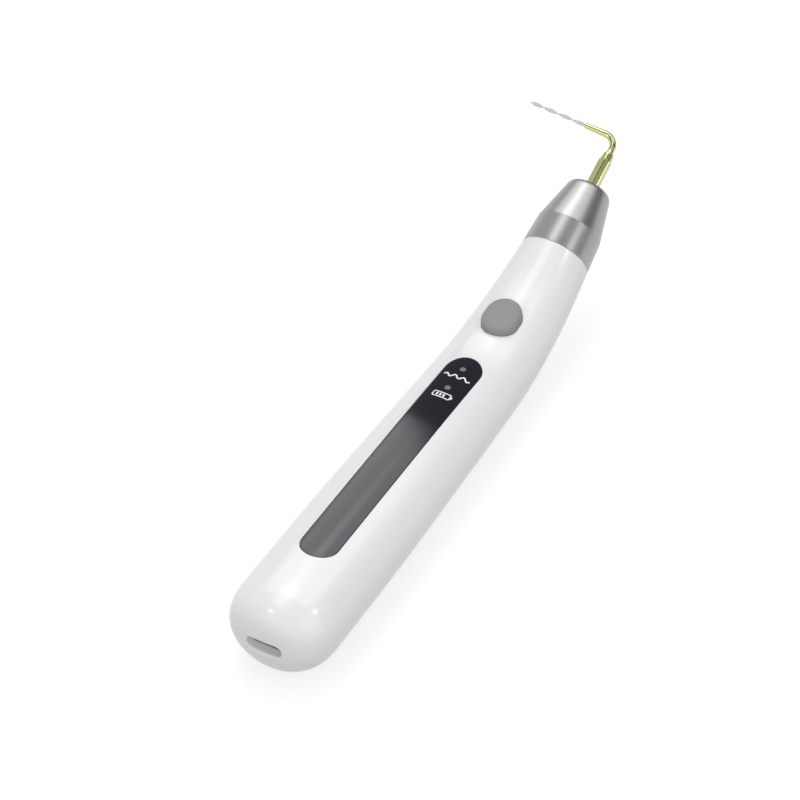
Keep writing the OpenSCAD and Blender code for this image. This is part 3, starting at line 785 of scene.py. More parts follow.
def close_front(bm, edge):
    """Rounds the front end's edge, and makes the bore that the nose collar sits in."""
    loop = [e for e in boundary(bm, 0) if is_front(e)]
    target = places(bm, [e for e in boundary(bm, 1) if is_front(e)])
    rings = [skin_ring(BODY_LEN - edge + move, drop) for move, drop in lip_steps(edge)]
    bore = (
        (BORE_R + BORE_CHAMFER, BODY_LEN), (BORE_R, BODY_LEN - BORE_CHAMFER), (BORE_R, BODY_LEN - BORE_LEN))
    rings += [[lift(s, y, h) for y, h in circle_points(r, AROUND)] for r, s in bore]
    next_rings(bm, loop, rings + [target])


def panel_ring(grow, depth=0, drop=0):
    """Outline of the panel grown by a distance, on the casing or under it."""
    points = stadium_points(PANEL_LEN + 2 * grow, PANEL_W + 2 * grow, PANEL_AROUND)
    return [landing(PANEL_FRAME, u, v, depth) - Vector((0, 0, drop)) for u, v in points]


def sink_recess(bm, edge):
    """Makes the recess of the indicator panel, with a floor that follows the casing."""
    layer = bm.faces.layers.int["inner"]

    def on_floor(v):
        u = v.co.x - PANEL_MID
        return v.co.z > 0 and stadium_distance((u, v.co.y), PANEL_LEN, PANEL_W) < -FLOOR_MARGIN

    floor = [f for f in bm.faces if f[layer] == 0 and all(on_floor(v) for v in f.verts)]
    patch = bmesh.ops.duplicate(bm, geom=whole(floor))["geom"]
    for v in only(patch, BMVert):
        v.co = landing(PANEL_FRAME, v.co.x - PANEL_MID, v.co.y, RECESS_DEPTH)
    for f in only(patch, BMFace):
        f[layer] = 2
    floor_rim = [e for e in only(patch, BMEdge) if e.is_boundary]
    grown = edge + HOLD
    loop = open_skin(
        bm, PANEL_FRAME, 1, 0, lambda p: stadium_distance(p, PANEL_LEN, PANEL_W) < grown + PANEL_SPARE,
        panel_ring(grown))
    rings = [panel_ring(edge - move, 0, drop) for move, drop in lip_steps(edge)]
    loop = next_rings(bm, loop, rings + [panel_ring(0, RECESS_DEPTH)])
    fill_between(bm, loop + floor_rim, Vector((0, 0, 1)))


def make_button_hole(bm, edge):
    """Makes the hole of the power button, with the seat under it."""
    where = standing_on(BUTTON_AT)
    down = (where.to_3x3() @ Vector((0, 0, -1))).normalized()

    def ring(grow, depth=0, drop=0):
        return [landing(where, u, v, depth) + down * drop for u, v in button_outline(grow)]

    def near(grow):
        return lambda p: stadium_distance(p, BUTTON_LEN, BUTTON_W) < grow + SPARE

    open_skin(bm, where, 1, 1, near(SEAT_EDGE), ring(SEAT_EDGE, WALL))
    grown = BUTTON_GAP + edge + HOLD
    loop = open_skin(bm, where, 1, 0, near(grown), ring(grown))
    rings = [ring(BUTTON_GAP + edge - move, 0, drop) for move, drop in lip_steps(edge)]
    rings += [level_ring(button_outline(grow), SEAT_HEIGHT, where) for grow in (BUTTON_GAP, SEAT_EDGE)]
    next_rings(bm, loop, rings + [ring(SEAT_EDGE, WALL)])


def make_housing(bm, edge, port_edge):
    """Gives the housing's outer skin its inner skin, and closes every opening between them."""
    number_seam(bm, [e for e in boundary(bm, 0) if is_seam(e)])
    add_inner(bm)
    layer = bm.faces.layers.int["inner"]
    beyond = [f for f in bm.faces if f[layer] == 1
              and station(f.calc_center_median())[0] > BODY_LEN - BORE_LEN]
    bmesh.ops.delete(bm, geom=beyond, context="FACES")
    flatten_belly(bm)
    close_slot(bm, port_edge)
    close_front(bm, edge)
    close_seam(bm, -1, edge)
    sink_recess(bm, edge * RECESS_EDGE)
    make_button_hole(bm, edge)


def make_cover(bm, edge):
    """Gives the cover's outer skin its inner skin, its rounded seam and its two screw holes."""
    number_seam(bm, boundary(bm, 0))
    add_inner(bm)
    flatten_belly(bm)
    close_seam(bm, 1, edge)
    head_hole, shank_hole = HEAD_R + SCREW_PLAY, SCREW_R + SCREW_PLAY
    boss_top = PARTING_Z - BOSS_DROP
    for x in SCREW_X:
        where = Matrix.Translation((x, 0, 0))

        def ring(r, depth=0, rise=0):
            return [landing(where, u, v, depth, -1) + Vector((0, 0, rise)) for u, v in circle_points(r, 48)]

        def near(r):
            return lambda p: math.hypot(p.x, p.y) < r + SPARE

        open_skin(bm, where, -1, 1, near(BOSS_R), ring(BOSS_R, WALL))
        grown = head_hole + edge + HOLD
        loop = open_skin(bm, where, -1, 0, near(grown), ring(grown))
        rings = [ring(head_hole + edge - move, 0, drop) for move, drop in lip_steps(edge)]
        walls = (
            (head_hole, HEAD_SEAT_Z), (shank_hole, HEAD_SEAT_Z), (shank_hole, boss_top), (BOSS_R, boss_top))
        rings += [level_ring(circle_points(r, 48), z, where) for r, z in walls]
        next_rings(bm, loop, rings + [ring(BOSS_R, WALL)])


# ---------------------------------------------------------------- finishes

class Wire:
    """Output of a node in a finish. Arithmetic on it adds the Math nodes that work it out."""

    def __init__(self, tree, socket=None):
        self.tree = tree
        self.socket = socket

    def add(self, kind, settings=None, inputs=None, output=0):
        """Adds a node: its settings are set first, then the values or links of its sockets."""
        node = self.tree.nodes.new(kind)
        for name, value in (settings or {}).items():
            setattr(node, name, value)
        for name, value in (inputs or {}).items():
            if isinstance(value, Wire):
                self.tree.links.new(value.socket, node.inputs[name])
            else:
                node.inputs[name].default_value = value
        return Wire(self.tree, node.outputs[output] if node.outputs else None)

    def math(self, operation, *others):
        """Math node that takes this value first."""
        return self.add("ShaderNodeMath", {"operation": operation}, dict(enumerate((self, *others))))

    def __add__(self, other):
        return self.math("ADD", other)

    def __sub__(self, other):
        return self.math("SUBTRACT", other)

    def __rsub__(self, other):
        return self.add("ShaderNodeMath", {"operation": "SUBTRACT"}, {0: other, 1: self})

    def __mul__(self, other):
        return self.math("MULTIPLY", other)

    __radd__ = __add__
    __rmul__ = __mul__

    def smooth(self, low, high):
        """0 under a value, 1 over another, and smooth between them."""
        return self.add(
            "ShaderNodeMapRange", {"interpolation_type": "SMOOTHSTEP"},
            {"Value": self, "From Min": low, "From Max": high},
        )

    def band(self, low, high, soft):
        """1 between two values, and soft on either side of them."""
        return self.smooth(low - soft, low) * (1 - self.smooth(high, high + soft))

    def blend(self, first, second):
        """A colour for 0 and a colour for 1, mixed by this value."""
        return self.add(
            "ShaderNodeMix", {"data_type": "RGBA", "clamp_factor": True}, {0: self, 6: first, 7: second}, 2)

    def noise(self, scale, detail, roughness=0.5):
        """Cloudy pattern at this place, a number of times in a metre."""
        return self.add(
            "ShaderNodeTexNoise", {},
            {"Vector": self, "Scale": scale, "Detail": detail, "Roughness": roughness},
        )

    def turned_and_stretched(self, rotation, scale):
        return self.add(
            "ShaderNodeMapping", {"vector_type": "TEXTURE"},
            {"Vector": self, "Rotation": rotation, "Scale": scale},
        )

    def axes(self):
        """The three numbers of this place."""
        node = self.tree.nodes.new("ShaderNodeSeparateXYZ")
        self.tree.links.new(self.socket, node.inputs[0])
        return [Wire(self.tree, out) for out in node.outputs]


def finish(name):
    """Empty finish, and the place of each point on the part in it."""
    material = bpy.data.materials.new(name)
    material.use_nodes = True
    material.node_tree.nodes.clear()
    start = Wire(material.node_tree)
    return material, start.add("ShaderNodeTexCoord", output="Object")


def coat_with(material, place, bump=None, strength=0.1, distance=0.00002, **sockets):
    """Closes a finish with its shader. Names of sockets are given with _ for each space."""
    inputs = {k.replace("_", " "): v for k, v in sockets.items()}
    if bump is not None:
        inputs["Normal"] = place.add(
            "ShaderNodeBump", {}, {"Strength": strength, "Distance": distance, "Height": bump})
    shader = place.add("ShaderNodeBsdfPrincipled", {}, inputs)
    place.add("ShaderNodeOutputMaterial", {}, {"Surface": shader})
    return material


def rgba(colour, level=1.0):
    return (*[min(c * level, 1) for c in colour], 1)


def white_casing(colour):
    material, place = finish("white_casing")
    cloud = place.noise(55, 3)
    speck = place.noise(900, 2).smooth(0.66, 0.8)
    rub = place.noise(230, 4, 0.6).smooth(0.45, 0.75)
    tint = (cloud * 0.8 + speck * 0.25).blend(rgba(colour), rgba(colour, 0.955))
    return coat_with(
        material, place, bump=place.noise(420, 2) * 0.7 + place.noise(2600, 1) * 0.3,
        strength=0.05, distance=0.00003, Base_Color=tint, Roughness=0.12 + cloud * 0.03 + rub * 0.03,
        IOR=1.5,
    )


def black_window(colour, light_colour, light_r):
    material, place = finish("black_window")
    x, y = place.axes()[:2]
    spots = []
    for at in (OPERATE_AT, CHARGE_AT):
        dx = x - (at - REST_X) * MM
        reach = (dx * dx + y * y).math("SQRT")
        spots.append(1 - reach.smooth(light_r * 0.72, light_r * 1.05))
    lights = spots[0].math("MAXIMUM", spots[1])
    haze = place.noise(70, 3).smooth(0.35, 0.75)
    dust = place.noise(3800, 2).smooth(0.7, 0.8)
    base = haze.blend(rgba(colour), rgba(colour, 1.35))
    base = (dust * 0.3).blend(base, (0.16, 0.17, 0.19, 1))
    return coat_with(
        material, place, Base_Color=lights.blend(base, rgba(light_colour)),
        Roughness=0.055 + haze * 0.03 + dust * 0.25 + lights * 0.3, IOR=1.6,
    )


def soft_rubber(name, colour, roughness=0.55):
    material, place = finish(name)
    cloud = place.noise(180, 3)
    grain = place.noise(5200, 2)
    return coat_with(
        material, place, bump=grain, strength=0.22, distance=0.00004,
        Base_Color=(cloud * 0.6 + grain * 0.4).blend(rgba(colour, 0.93), rgba(colour, 1.07)),
        Roughness=roughness + cloud * 0.1,
    )


def metal(name, colour, roughness, rotation=(0, 0, 0), stretch=(1, 1, 1), scale=4000, depth=0.2):
    """Metal with fine marks, drawn out along the axes that stretch is large on."""
    material, place = finish(name)
    marks = place.turned_and_stretched(rotation, stretch).noise(scale, 3, 0.65)
    cloud = place.noise(160, 3)
    return coat_with(
        material, place, bump=marks, strength=depth, distance=0.00002, Metallic=1.0,
        Base_Color=(marks * 0.6 + cloud * 0.4).blend(rgba(colour, 0.88), rgba(colour, 1.06)),
        Roughness=roughness + marks * 0.1 + cloud * 0.04,
    )


def plain_plastic(name, colour, roughness):
    """Moulded plastic, film or ceramic with a fine grain."""
    material, place = finish(name)
    cloud = place.noise(187.5, 3)
    fine = place.noise(1500, 2)
    return coat_with(
        material, place, bump=fine, strength=0.1, distance=0.00003,
        Base_Color=cloud.blend(rgba(colour, 0.9), rgba(colour, 1.08)), Roughness=roughness + cloud * 0.1,
    )


def circuit_board(colour):
    """Green lacquer with raised tracks and round solder pads."""
    material, place = finish("circuit_board")
    cells = place.add(
        "ShaderNodeTexVoronoi", {"feature": "DISTANCE_TO_EDGE"}, {"Vector": place, "Scale": 520.0})
    dots = place.add("ShaderNodeTexVoronoi", {"feature": "F1"}, {"Vector": place, "Scale": 330.0})
    track = 1 - cells.smooth(0.05, 0.09)
    pad = 1 - dots.smooth(0.2, 0.24)
    base = track.blend(rgba(colour), rgba(colour, 1.7))
    return coat_with(
        material, place, bump=track, strength=0.3, distance=0.00003, Metallic=pad * 0.9,
        Base_Color=pad.blend(base, (0.75, 0.6, 0.3, 1)), Roughness=0.32 + pad * 0.1,
    )


def copper_winding(colour):
    """Lacquered copper wire, wound turn beside turn."""
    material, place = finish("copper_winding")
    pitch = 0.28 * MM
    turns = (place.axes()[2] * (2 * math.pi / pitch)).math("SINE")
    # The base colour darkens smoothly into each groove between turns and is full on each crest: painted shade
    # across the round wire, on top of the bump
    return coat_with(
        material, place, bump=turns, strength=0.6, distance=0.00005, Metallic=1.0,
        Base_Color=turns.smooth(-1, 1).blend(rgba(colour, 0.5), rgba(colour)), Roughness=0.3 + turns * 0.03,
    )


# ---------------------------------------------------------------- settings

def length(name, text, millimetres, low, high):
    return FloatProperty(
        name=name, description=text, default=millimetres * MM, min=low * MM, max=high * MM,
        unit="LENGTH", precision=5)


def colour(name, text, value):
    return FloatVectorProperty(
        name=name, description=text, default=value, min=0, max=1, size=3, subtype="COLOR")


def light_level(name, text, value, unit="NONE"):
    return FloatProperty(name=name, description=text, default=value, min=0, unit=unit)


class CasingSettings(bpy.types.PropertyGroup):
    edge: length("Edge rounding", "Radius of the casing's edges at its seams and openings", 0.2, 0.1, 0.3)
    slot_edge: length("Slot rounding", "Radius of the charging slot's outer edge", 0.32, 0.2, 0.8)
    colour: colour("Casing colour", "Colour of the glossy casing", (0.84, 0.845, 0.85))


class PanelSettings(bpy.types.PropertyGroup):
    edge: length("Window edge", "Radius of the window's upper edge", 0.12, 0.05, 0.2)
    light_r: length("Light radius", "Radius of the two indicator lights", 0.85, 0.5, 1.2)
    colour: colour("Window colour", "Colour of the indicator window", (0.008, 0.009, 0.016))
    light_colour: colour("Light colour", "Colour of the unlit indicator lights", (0.13, 0.15, 0.14))
    mark_colour: colour("Mark colour", "Colour of the printed marks", (0.9, 0.9, 0.91))


class ButtonSettings(bpy.types.PropertyGroup):
    edge: length("Button edge", "Radius of the button's rounded edge", 0.9, 0.5, 1.4)
    colour: colour("Button colour", "Colour of the power button", (0.27, 0.275, 0.28))


class NoseSettings(bpy.types.PropertyGroup):
    edge: length("Nose edge", "Radius of the nose's outer edges", 0.2, 0.05, 0.5)
    colour: colour("Nose colour", "Colour of the turned steel", (0.37, 0.37, 0.365))


class TipSettings(bpy.types.PropertyGroup):
    corner: length("Corner rounding", "Radius of the hexagon's corners", 0.3, 0.05, 0.4)
    gold: colour("Tip colour", "Colour of the coated tip holder", (0.54, 0.55, 0.27))
    steel: colour("File colour", "Colour of the twisted file", (0.66, 0.66, 0.67))


class InsideSettings(bpy.types.PropertyGroup):
    board: colour("Board colour", "Colour of the circuit boards", (0.02, 0.11, 0.05))
    cell: colour("Cell colour", "Colour of the battery's sleeve", (0.05, 0.14, 0.36))
    copper: colour("Winding colour", "Colour of the transformer's winding", (0.72, 0.36, 0.16))


class StageSettings(bpy.types.PropertyGroup):
    floor: colour("Floor colour", "Colour of the floor and the background", (1.0, 1.0, 1.0))
    window: light_level("Window light", "Strength of the light that the panel mirrors", 2.0)
    ridge: light_level("Ridge light", "Strength of the long light overhead", 2.3)
    right: light_level("Right light", "Strength of the wide light on the right", 1.4)
    left: light_level("Left light", "Strength of the wide light on the left", 0.57)
    behind: light_level("Rear light", "Strength of the wide light behind the handle", 1.15)
    ambient: light_level("Ambient", "Strength of the even light", 0.21)
    lamp: light_level("Lamps", "Power of the two small lamps", 0.16, "POWER")


SETTINGS = {
    "casing": CasingSettings, "panel": PanelSettings, "button": ButtonSettings, "nose": NoseSettings,
    "tip": TipSettings, "inside": InsideSettings, "stage": StageSettings,
}


def settings(context, group):
    return getattr(context.scene, "activator_" + group)


# ---------------------------------------------------------------- pieces

class ACTIVATOR_OT_casing(bpy.types.Operator):
    """Builds the main housing and the bottom cover"""

    bl_idname = "activator.casing"
    bl_label = "Casing"

    def execute(self, context):
        look = settings(context, "casing")
        edge, slot_edge = look.edge / MM, look.slot_edge / MM
        white = white_casing(look.colour)
        housing, cover = casing_skins(edge, slot_edge)
        make_housing(housing, edge, slot_edge)
        finish_piece("casing_housing", housing, white, "handle", "main_housing")
        make_cover(cover, edge)
        finish_piece("casing_bottom_cover", cover, white, "handle", "bottom_cover")
        return {"FINISHED"}


def make_window(edge):
    """Long window with a rounded upper edge, which follows the casing."""
    bm = new_mesh()
    bmesh.ops.create_grid(bm, x_segments=110, y_segments=16, size=0.5)
    long, wide = PANEL_LEN - 2 * WINDOW_GAP, PANEL_W - 2 * WINDOW_GAP
    for v in bm.verts:
        v.co = Vector((v.co.x * long, v.co.y * wide, 0))
    outside = [v for v in bm.verts if stadium_distance(v.co, long, wide) > -edge - HOLD - PANEL_SPARE]
    bmesh.ops.delete(bm, geom=outside, context="VERTS")
    upper = bm.faces[:] + bm.edges[:] + bm.verts[:]
    lower = bmesh.ops.duplicate(bm, geom=upper)["geom"]
    rims = []
    for sheet, depth in ((upper, WINDOW_SINK), (lower, WINDOW_SINK + WINDOW_T)):
        rims.append([e for e in only(sheet, BMEdge) if e.is_boundary])
        for v in only(sheet, BMVert):
            v.co = landing(PANEL_FRAME, v.co.x, v.co.y, depth)
    start = -WINDOW_GAP - edge
    loop = start_ring(bm, panel_ring(start - HOLD, WINDOW_SINK))
    fill_between(bm, rims[0] + loop, Vector((0, 0, 1)))
    rings = [panel_ring(start + move, WINDOW_SINK, drop) for move, drop in lip_steps(edge)]
    loop = next_rings(bm, loop, rings + [panel_ring(-WINDOW_GAP, WINDOW_SINK + WINDOW_T)])
    fill_between(bm, rims[1] + loop, Vector((0, 0, -1)))
    return bm


def short_steps(path, closed):
    """The same path with points added, so that it can follow a curved surface."""
    path = [Vector(p) for p in path]
    made = []
    for p, q in zip(path, path[1:] + path[:1] if closed else path[1:]):
        count = max(math.ceil(math.dist(p, q) / STROKE_STEP), 1)
        made += [p.lerp(q, k / count) for k in range(count)]
    return made if closed else made + path[-1:]


def add_stroke(bm, path, thick, closed=False):
    """Printed line of even thickness on the window, a hair proud of it."""
    path = short_steps(path, closed)
    high, low = WINDOW_SINK - MARK_PROUD, WINDOW_SINK + MARK_SUNK
    sections = []
    for i, p in enumerate(path):
        last = path[i - 1] if closed or i else p
        following = path[(i + 1) % len(path)] if closed or i < len(path) - 1 else p
        across = Vector((last.y - following.y, following.x - last.x)).normalized() * thick / 2
        corners = ((p + across, high), (p - across, high), (p - across, low), (p + across, low))
        sections.append([landing(PANEL_FRAME, q.x - PANEL_MID, q.y, depth) for q, depth in corners])
    if closed:
        next_rings(bm, start_ring(bm, sections[0]), sections[1:] + sections[:1])
    else:
        lofted(bm, sections)


def make_marks():
    """A wave beside the operating light and a charged battery beside the charging light."""
    bm = new_mesh()
    wave = [(WAVE_AT + WAVE_SWING * math.sin(k * math.pi / 8), WAVE_W * (0.5 - k / 48)) for k in range(49)]
    add_stroke(bm, wave, WAVE_STROKE)
    corners = [(x * CELL_W / 2, y * CELL_H / 2, CELL_CORNER_R)
               for x, y in ((1, 1), (-1, 1), (-1, -1), (1, -1))]
    add_stroke(bm, [(CELL_AT + p.y, p.x) for p in fillet(corners, 4)], CELL_STROKE, closed=True)
    knob = -CELL_W / 2 - 0.35
    for v, half, thick in ((knob, KNOB_HALF, KNOB_STROKE), *((v, BAR_HALF, BAR_STROKE) for v in BARS)):
        add_stroke(bm, [(CELL_AT - half, v), (CELL_AT + half, v)], thick)
    return bm


class ACTIVATOR_OT_panel(bpy.types.Operator):
    """Builds the indicator window and the marks printed on it"""

    bl_idname = "activator.panel"
    bl_label = "Indicator panel"

    def execute(self, context):
        look = settings(context, "panel")
        glass = black_window(look.colour, look.light_colour, look.light_r)
        finish_piece("indicator_window", make_window(look.edge / MM), glass, "handle", "panel_window")
        white = plain_plastic("white_print", look.mark_colour, 0.5)
        finish_piece("panel_marks", make_marks(), white, "handle", "panel_window", stands_for=False)
        return {"FINISHED"}


def crown_ring(grow, drop=0):
    """Outline of the button on its domed top, or a drop under it."""
    ring = []
    for u, v in button_outline(grow):
        reach = CROWN_ALONG - CROWN_ACROSS + math.sqrt(CROWN_ACROSS ** 2 - v * v)
        ring.append(Vector((u, v, BUTTON_TOP - CROWN_ALONG + math.sqrt(reach ** 2 - u * u) - drop)))
    return ring


class ACTIVATOR_OT_button(bpy.types.Operator):
    """Builds the power button"""

    bl_idname = "activator.button"
    bl_label = "Power button"

    def execute(self, context):
        look = settings(context, "button")
        edge = look.edge / MM
        inner = BUTTON_W / 2 - edge
        rings = [crown_ring(0.1 - BUTTON_W / 2)]
        rings += [crown_ring(-edge - inner * share) for share in (0.8, 0.6, 0.4, 0.2)]
        rings += [crown_ring(move - edge, drop) for move, drop in lip_steps(edge, 8)]
        flange = (
            (0, FLANGE_TOP), (FLANGE_EDGE - CHAMFER, FLANGE_TOP), (FLANGE_EDGE, FLANGE_TOP - CHAMFER),
            (FLANGE_EDGE, FLANGE_BOTTOM + CHAMFER), (FLANGE_EDGE - CHAMFER, FLANGE_BOTTOM))
        rings += [level_ring(button_outline(grow), z) for grow, z in flange]
        post_end = FLANGE_BOTTOM - POST_LEN
        post = ((POST_R, FLANGE_BOTTOM), (POST_R, post_end + CHAMFER), (POST_R - CHAMFER, post_end))
        rings += [level_ring(circle_points(r), z) for r, z in post]
        bm = new_mesh()
        lofted(bm, rings)
        grey = soft_rubber("button_grey", look.colour)
        finish_piece("power_button_cap", bm, grey, "button", "power_button", standing_on(BUTTON_AT))
        return {"FINISHED"}


class ACTIVATOR_OT_nose(bpy.types.Operator):
    """Builds the turned steel nose"""

    bl_idname = "activator.nose"
    bl_label = "Nose"

    def execute(self, context):
        look = settings(context, "nose")
        edge = look.edge / MM
        joint = -NOSE_LEN
        chamfer = 0.15
        outside = [
            (NOSE_R - chamfer, joint, 0), (NOSE_R, joint + chamfer, 0),
            (NOSE_WAIST_R, joint + NOSE_REAR_LEN, 1.2), (SHOULDER_R, SHOULDER_H, 5), (FACE_R, FACE_H, 1.2),
        ]
        inside = [
            (NOSE_HOLE_R + chamfer, 0, 0.1), (NOSE_HOLE_R, -edge * 0.6, 0), (NOSE_HOLE_R, SEAL_START, 0),
            (SEAL_R, SEAL_START, 0), (SEAL_R, SEAL_END, 0), (CAVITY_R, CLAMP_H + 1, 0),
            (CAVITY_R, CLAMP_H, 0), (THREAD_R, CLAMP_H, 0), (THREAD_R, joint, 0),
        ]
        bm = new_mesh()
        turned(bm, fillet(outside + inside, 6), 144)
        steel = metal(
            "turned_steel", look.colour, 0.27, rotation=(0, math.pi / 2 - BEND, 0),
            stretch=(30, 30, 1), scale=3000, depth=0.35)
        finish_piece("nose_shell", bm, steel, "handle", "nose_cone", nose_frame())
        return {"FINISHED"}


def hexagon_points(corner):
    """Outline of the hexagon with round corners, ten points to a side."""
    reach = (HEX_AF / 2 - corner) / math.cos(math.pi / 6)
    arcs = []
    for at in range(0, 360, 60):
        centre = Vector((math.cos(math.radians(at)), math.sin(math.radians(at)))) * reach
        turns = [math.radians(at + d) for d in (-30, -15, 0, 15, 30)]
        arcs.append([centre + corner * Vector((math.cos(t), math.sin(t))) for t in turns])
    points = []
    for arc, following in zip(arcs, arcs[1:] + arcs[:1]):
        points += arc + [arc[-1].lerp(following[0], j / 6) for j in range(1, 6)]
    return points


def bent_ring(rays, a, past, r):
    """Ring round the tip's bend at an angle of it, or a distance past it."""
    ring = []
    for d in rays:
        q = math.atan2(d.y, d.x) - ARM_TURN
        reach = TIP_BEND_R - r * math.sin(q)
        y = TIP_BEND_R - reach * math.cos(a) + past * math.sin(a)
        z = ARM_HEIGHT - TIP_BEND_R + reach * math.sin(a) + past * math.cos(a)
        ring.append(Matrix.Rotation(ARM_TURN, 3, "Z") @ Vector((r * math.cos(q), y, z)))
    return ring


def make_holder(corner):
    """Hole for the horn's stud, hexagon, tapered collar, neck and bent arm, as one skin."""
    hexagon = hexagon_points(corner)
    rays = [p.normalized() for p in hexagon]
    corner_r = max(p.length for p in hexagon)
    neck_r = NECK_D / 2

    def full(h):
        return level_ring(hexagon, h)

    def trimmed(h, r):
        return level_ring([p * min(1, r / p.length) for p in hexagon], h)

    def round_ring(h, r):
        return level_ring([d * r for d in rays], h)

    # Hole and hexagon, whose ends are chamfered: distance from the end, and radius
    rings = [round_ring(STUD_HOLE_END, STUD_HOLE_R), round_ring(HEX_START, STUD_HOLE_R)]
    chamfer = ((0, HEX_END_R + 0.02), (0.14, corner_r - 0.08), (0.3, corner_r))
    rings += [trimmed(HEX_START + h, r) for h, r in chamfer]
    rings += [full(HEX_START + HEX_FULL), full(HEX_LEN - HEX_FULL)]
    chamfer = ((0.3, corner_r), (0.12, corner_r - 0.1), (0, HEX_END_R))
    rings += [trimmed(HEX_LEN - h, r) for h, r in chamfer]

    # Collar: straight taper, rounded end and foot of the neck
    collar_end = HEX_LEN + COLLAR_LEN
    straight = COLLAR_LEN - COLLAR_EDGE
    rings += [round_ring(HEX_LEN + 0.04, COLLAR_FOOT_R)]
    rings += [round_ring(HEX_LEN + straight * k / 8, COLLAR_FOOT_R + (COLLAR_R - COLLAR_FOOT_R) * k / 8)
              for k in range(1, 8)]
    rings += [round_ring(HEX_LEN + straight + move, COLLAR_R - drop / 2)
              for move, drop in lip_steps(COLLAR_EDGE, 6)]
    rings += [round_ring(collar_end + 0.03, neck_r * 1.06), round_ring(collar_end + 0.12, neck_r)]

    # Neck, bend and arm with its rounded end
    rings += [round_ring(ARM_HEIGHT - TIP_BEND_R - 0.2, neck_r)]
    rings += [bent_ring(rays, TIP_BEND * k / 20, 0, neck_r) for k in range(21)]
    arm = ARM_REACH - TIP_BEND_R
    rings += [bent_ring(rays, TIP_BEND, arm * k / 8, neck_r * (1 - ARM_TAPER * k / 8)) for k in range(1, 8)]
    rings += [bent_ring(rays, TIP_BEND, arm - back, neck_r * share)
              for back, share in ((0.18, 1 - ARM_TAPER), (0.05, 0.7), (0, 0.5))]
    bm = new_mesh()
    lofted(bm, rings)
    return bm


def make_file():
    """Flat strip with slightly trimmed corners, twisted along its length and tapered at its end."""
    start, end = ARM_REACH - TIP_BEND_R - FILE_ROOT, FILE_REACH - TIP_BEND_R
    count = 170
    t = FILE_T / 2
    rings = []
    for k in range(count + 1):
        d = start + (end - start) * k / count
        a = math.pi * (d - ARM_REACH + TIP_BEND_R) / FILE_TWIST
        full = math.sqrt(max(min((end - d) / FILE_END, 1), 0))
        w = FILE_W / 2 * (FILE_END_SHARE + (1 - FILE_END_SHARE) * full)
        section = [(w, -t / 2), (w, t / 2), (w - t / 2, t), (t / 2 - w, t),
                   (-w, t / 2), (-w, -t / 2), (t / 2 - w, -t), (w - t / 2, -t)]
        rings.append(level_ring(section, d, Matrix.Rotation(a, 4, "Z")))
    bm = new_mesh()
    lofted(bm, rings)
    return bm


class ACTIVATOR_OT_tip(bpy.types.Operator):
    """Builds the gold tip holder and the twisted file"""

    bl_idname = "activator.tip"
    bl_label = "Tip"

    def execute(self, context):
        look = settings(context, "tip")
        gold = metal("gold_coating", look.gold, 0.07, scale=2600, depth=0.05)
        holder = make_holder(look.corner / MM)
        finish_piece("tip_holder_body", holder, gold, "tip", "tip_holder", nose_frame())
        steel = metal("file_steel", look.steel, 0.62, scale=3600, depth=0.15)
        finish_piece("tip_file_strip", make_file(), steel, "tip", "tip_file", arm_frame(), sharp=28)
        return {"FINISHED"}


class ACTIVATOR_OT_screws(bpy.types.Operator):
    """Builds the two screws of the bottom cover"""

    bl_idname = "activator.screws"
    bl_label = "Cover screws"

    def execute(self, context):
        arm, half = CROSS_ARM, CROSS_HALF
        cross = [(arm, -half), (arm, half), (half, half), (half, arm), (-half, arm), (-half, half),
                 (-arm, half), (-arm, -half), (-half, -half), (-half, -arm), (half, -arm), (half, -half)]
        low = HEAD_SEAT_Z - HEAD_H
        outline = [(HEAD_R - HEAD_EDGE * (1 - math.sin(t)), low + HEAD_EDGE * (1 - math.cos(t)))
                   for t in (0.3, 0.6, 0.9, 1.2, math.pi / 2)]
        outline += [(HEAD_R, HEAD_SEAT_Z), (SCREW_R, HEAD_SEAT_Z), (SCREW_R, -SCREW_POINT)]
        outline.append((SCREW_R - SCREW_POINT / 2, 0))
        bm = new_mesh()
        for x in SCREW_X:
            at = Matrix.Translation((x, 0, 0))
            bottom = [(u * CROSS_TAPER, v * CROSS_TAPER) for u, v in cross]
            loop = start_ring(bm, level_ring(bottom, low + CROSS_DEPTH, at), cap=True)
            loop = next_ring(bm, loop, level_ring(cross, low, at))
            rim = start_ring(bm, level_ring(circle_points(HEAD_R - HEAD_EDGE, 48), low, at))
            fill_between(bm, loop + rim, Vector((0, 0, -1)))
            close_ring(bm, next_rings(bm, rim, [level_ring(circle_points(r, 48), z, at) for r, z in outline]))
        steel = metal("screw_steel", (0.6, 0.6, 0.62), 0.28, scale=3000, depth=0.2)
        finish_piece("cover_screws", bm, steel, "handle", "housing_screws")
        return {"FINISHED"}


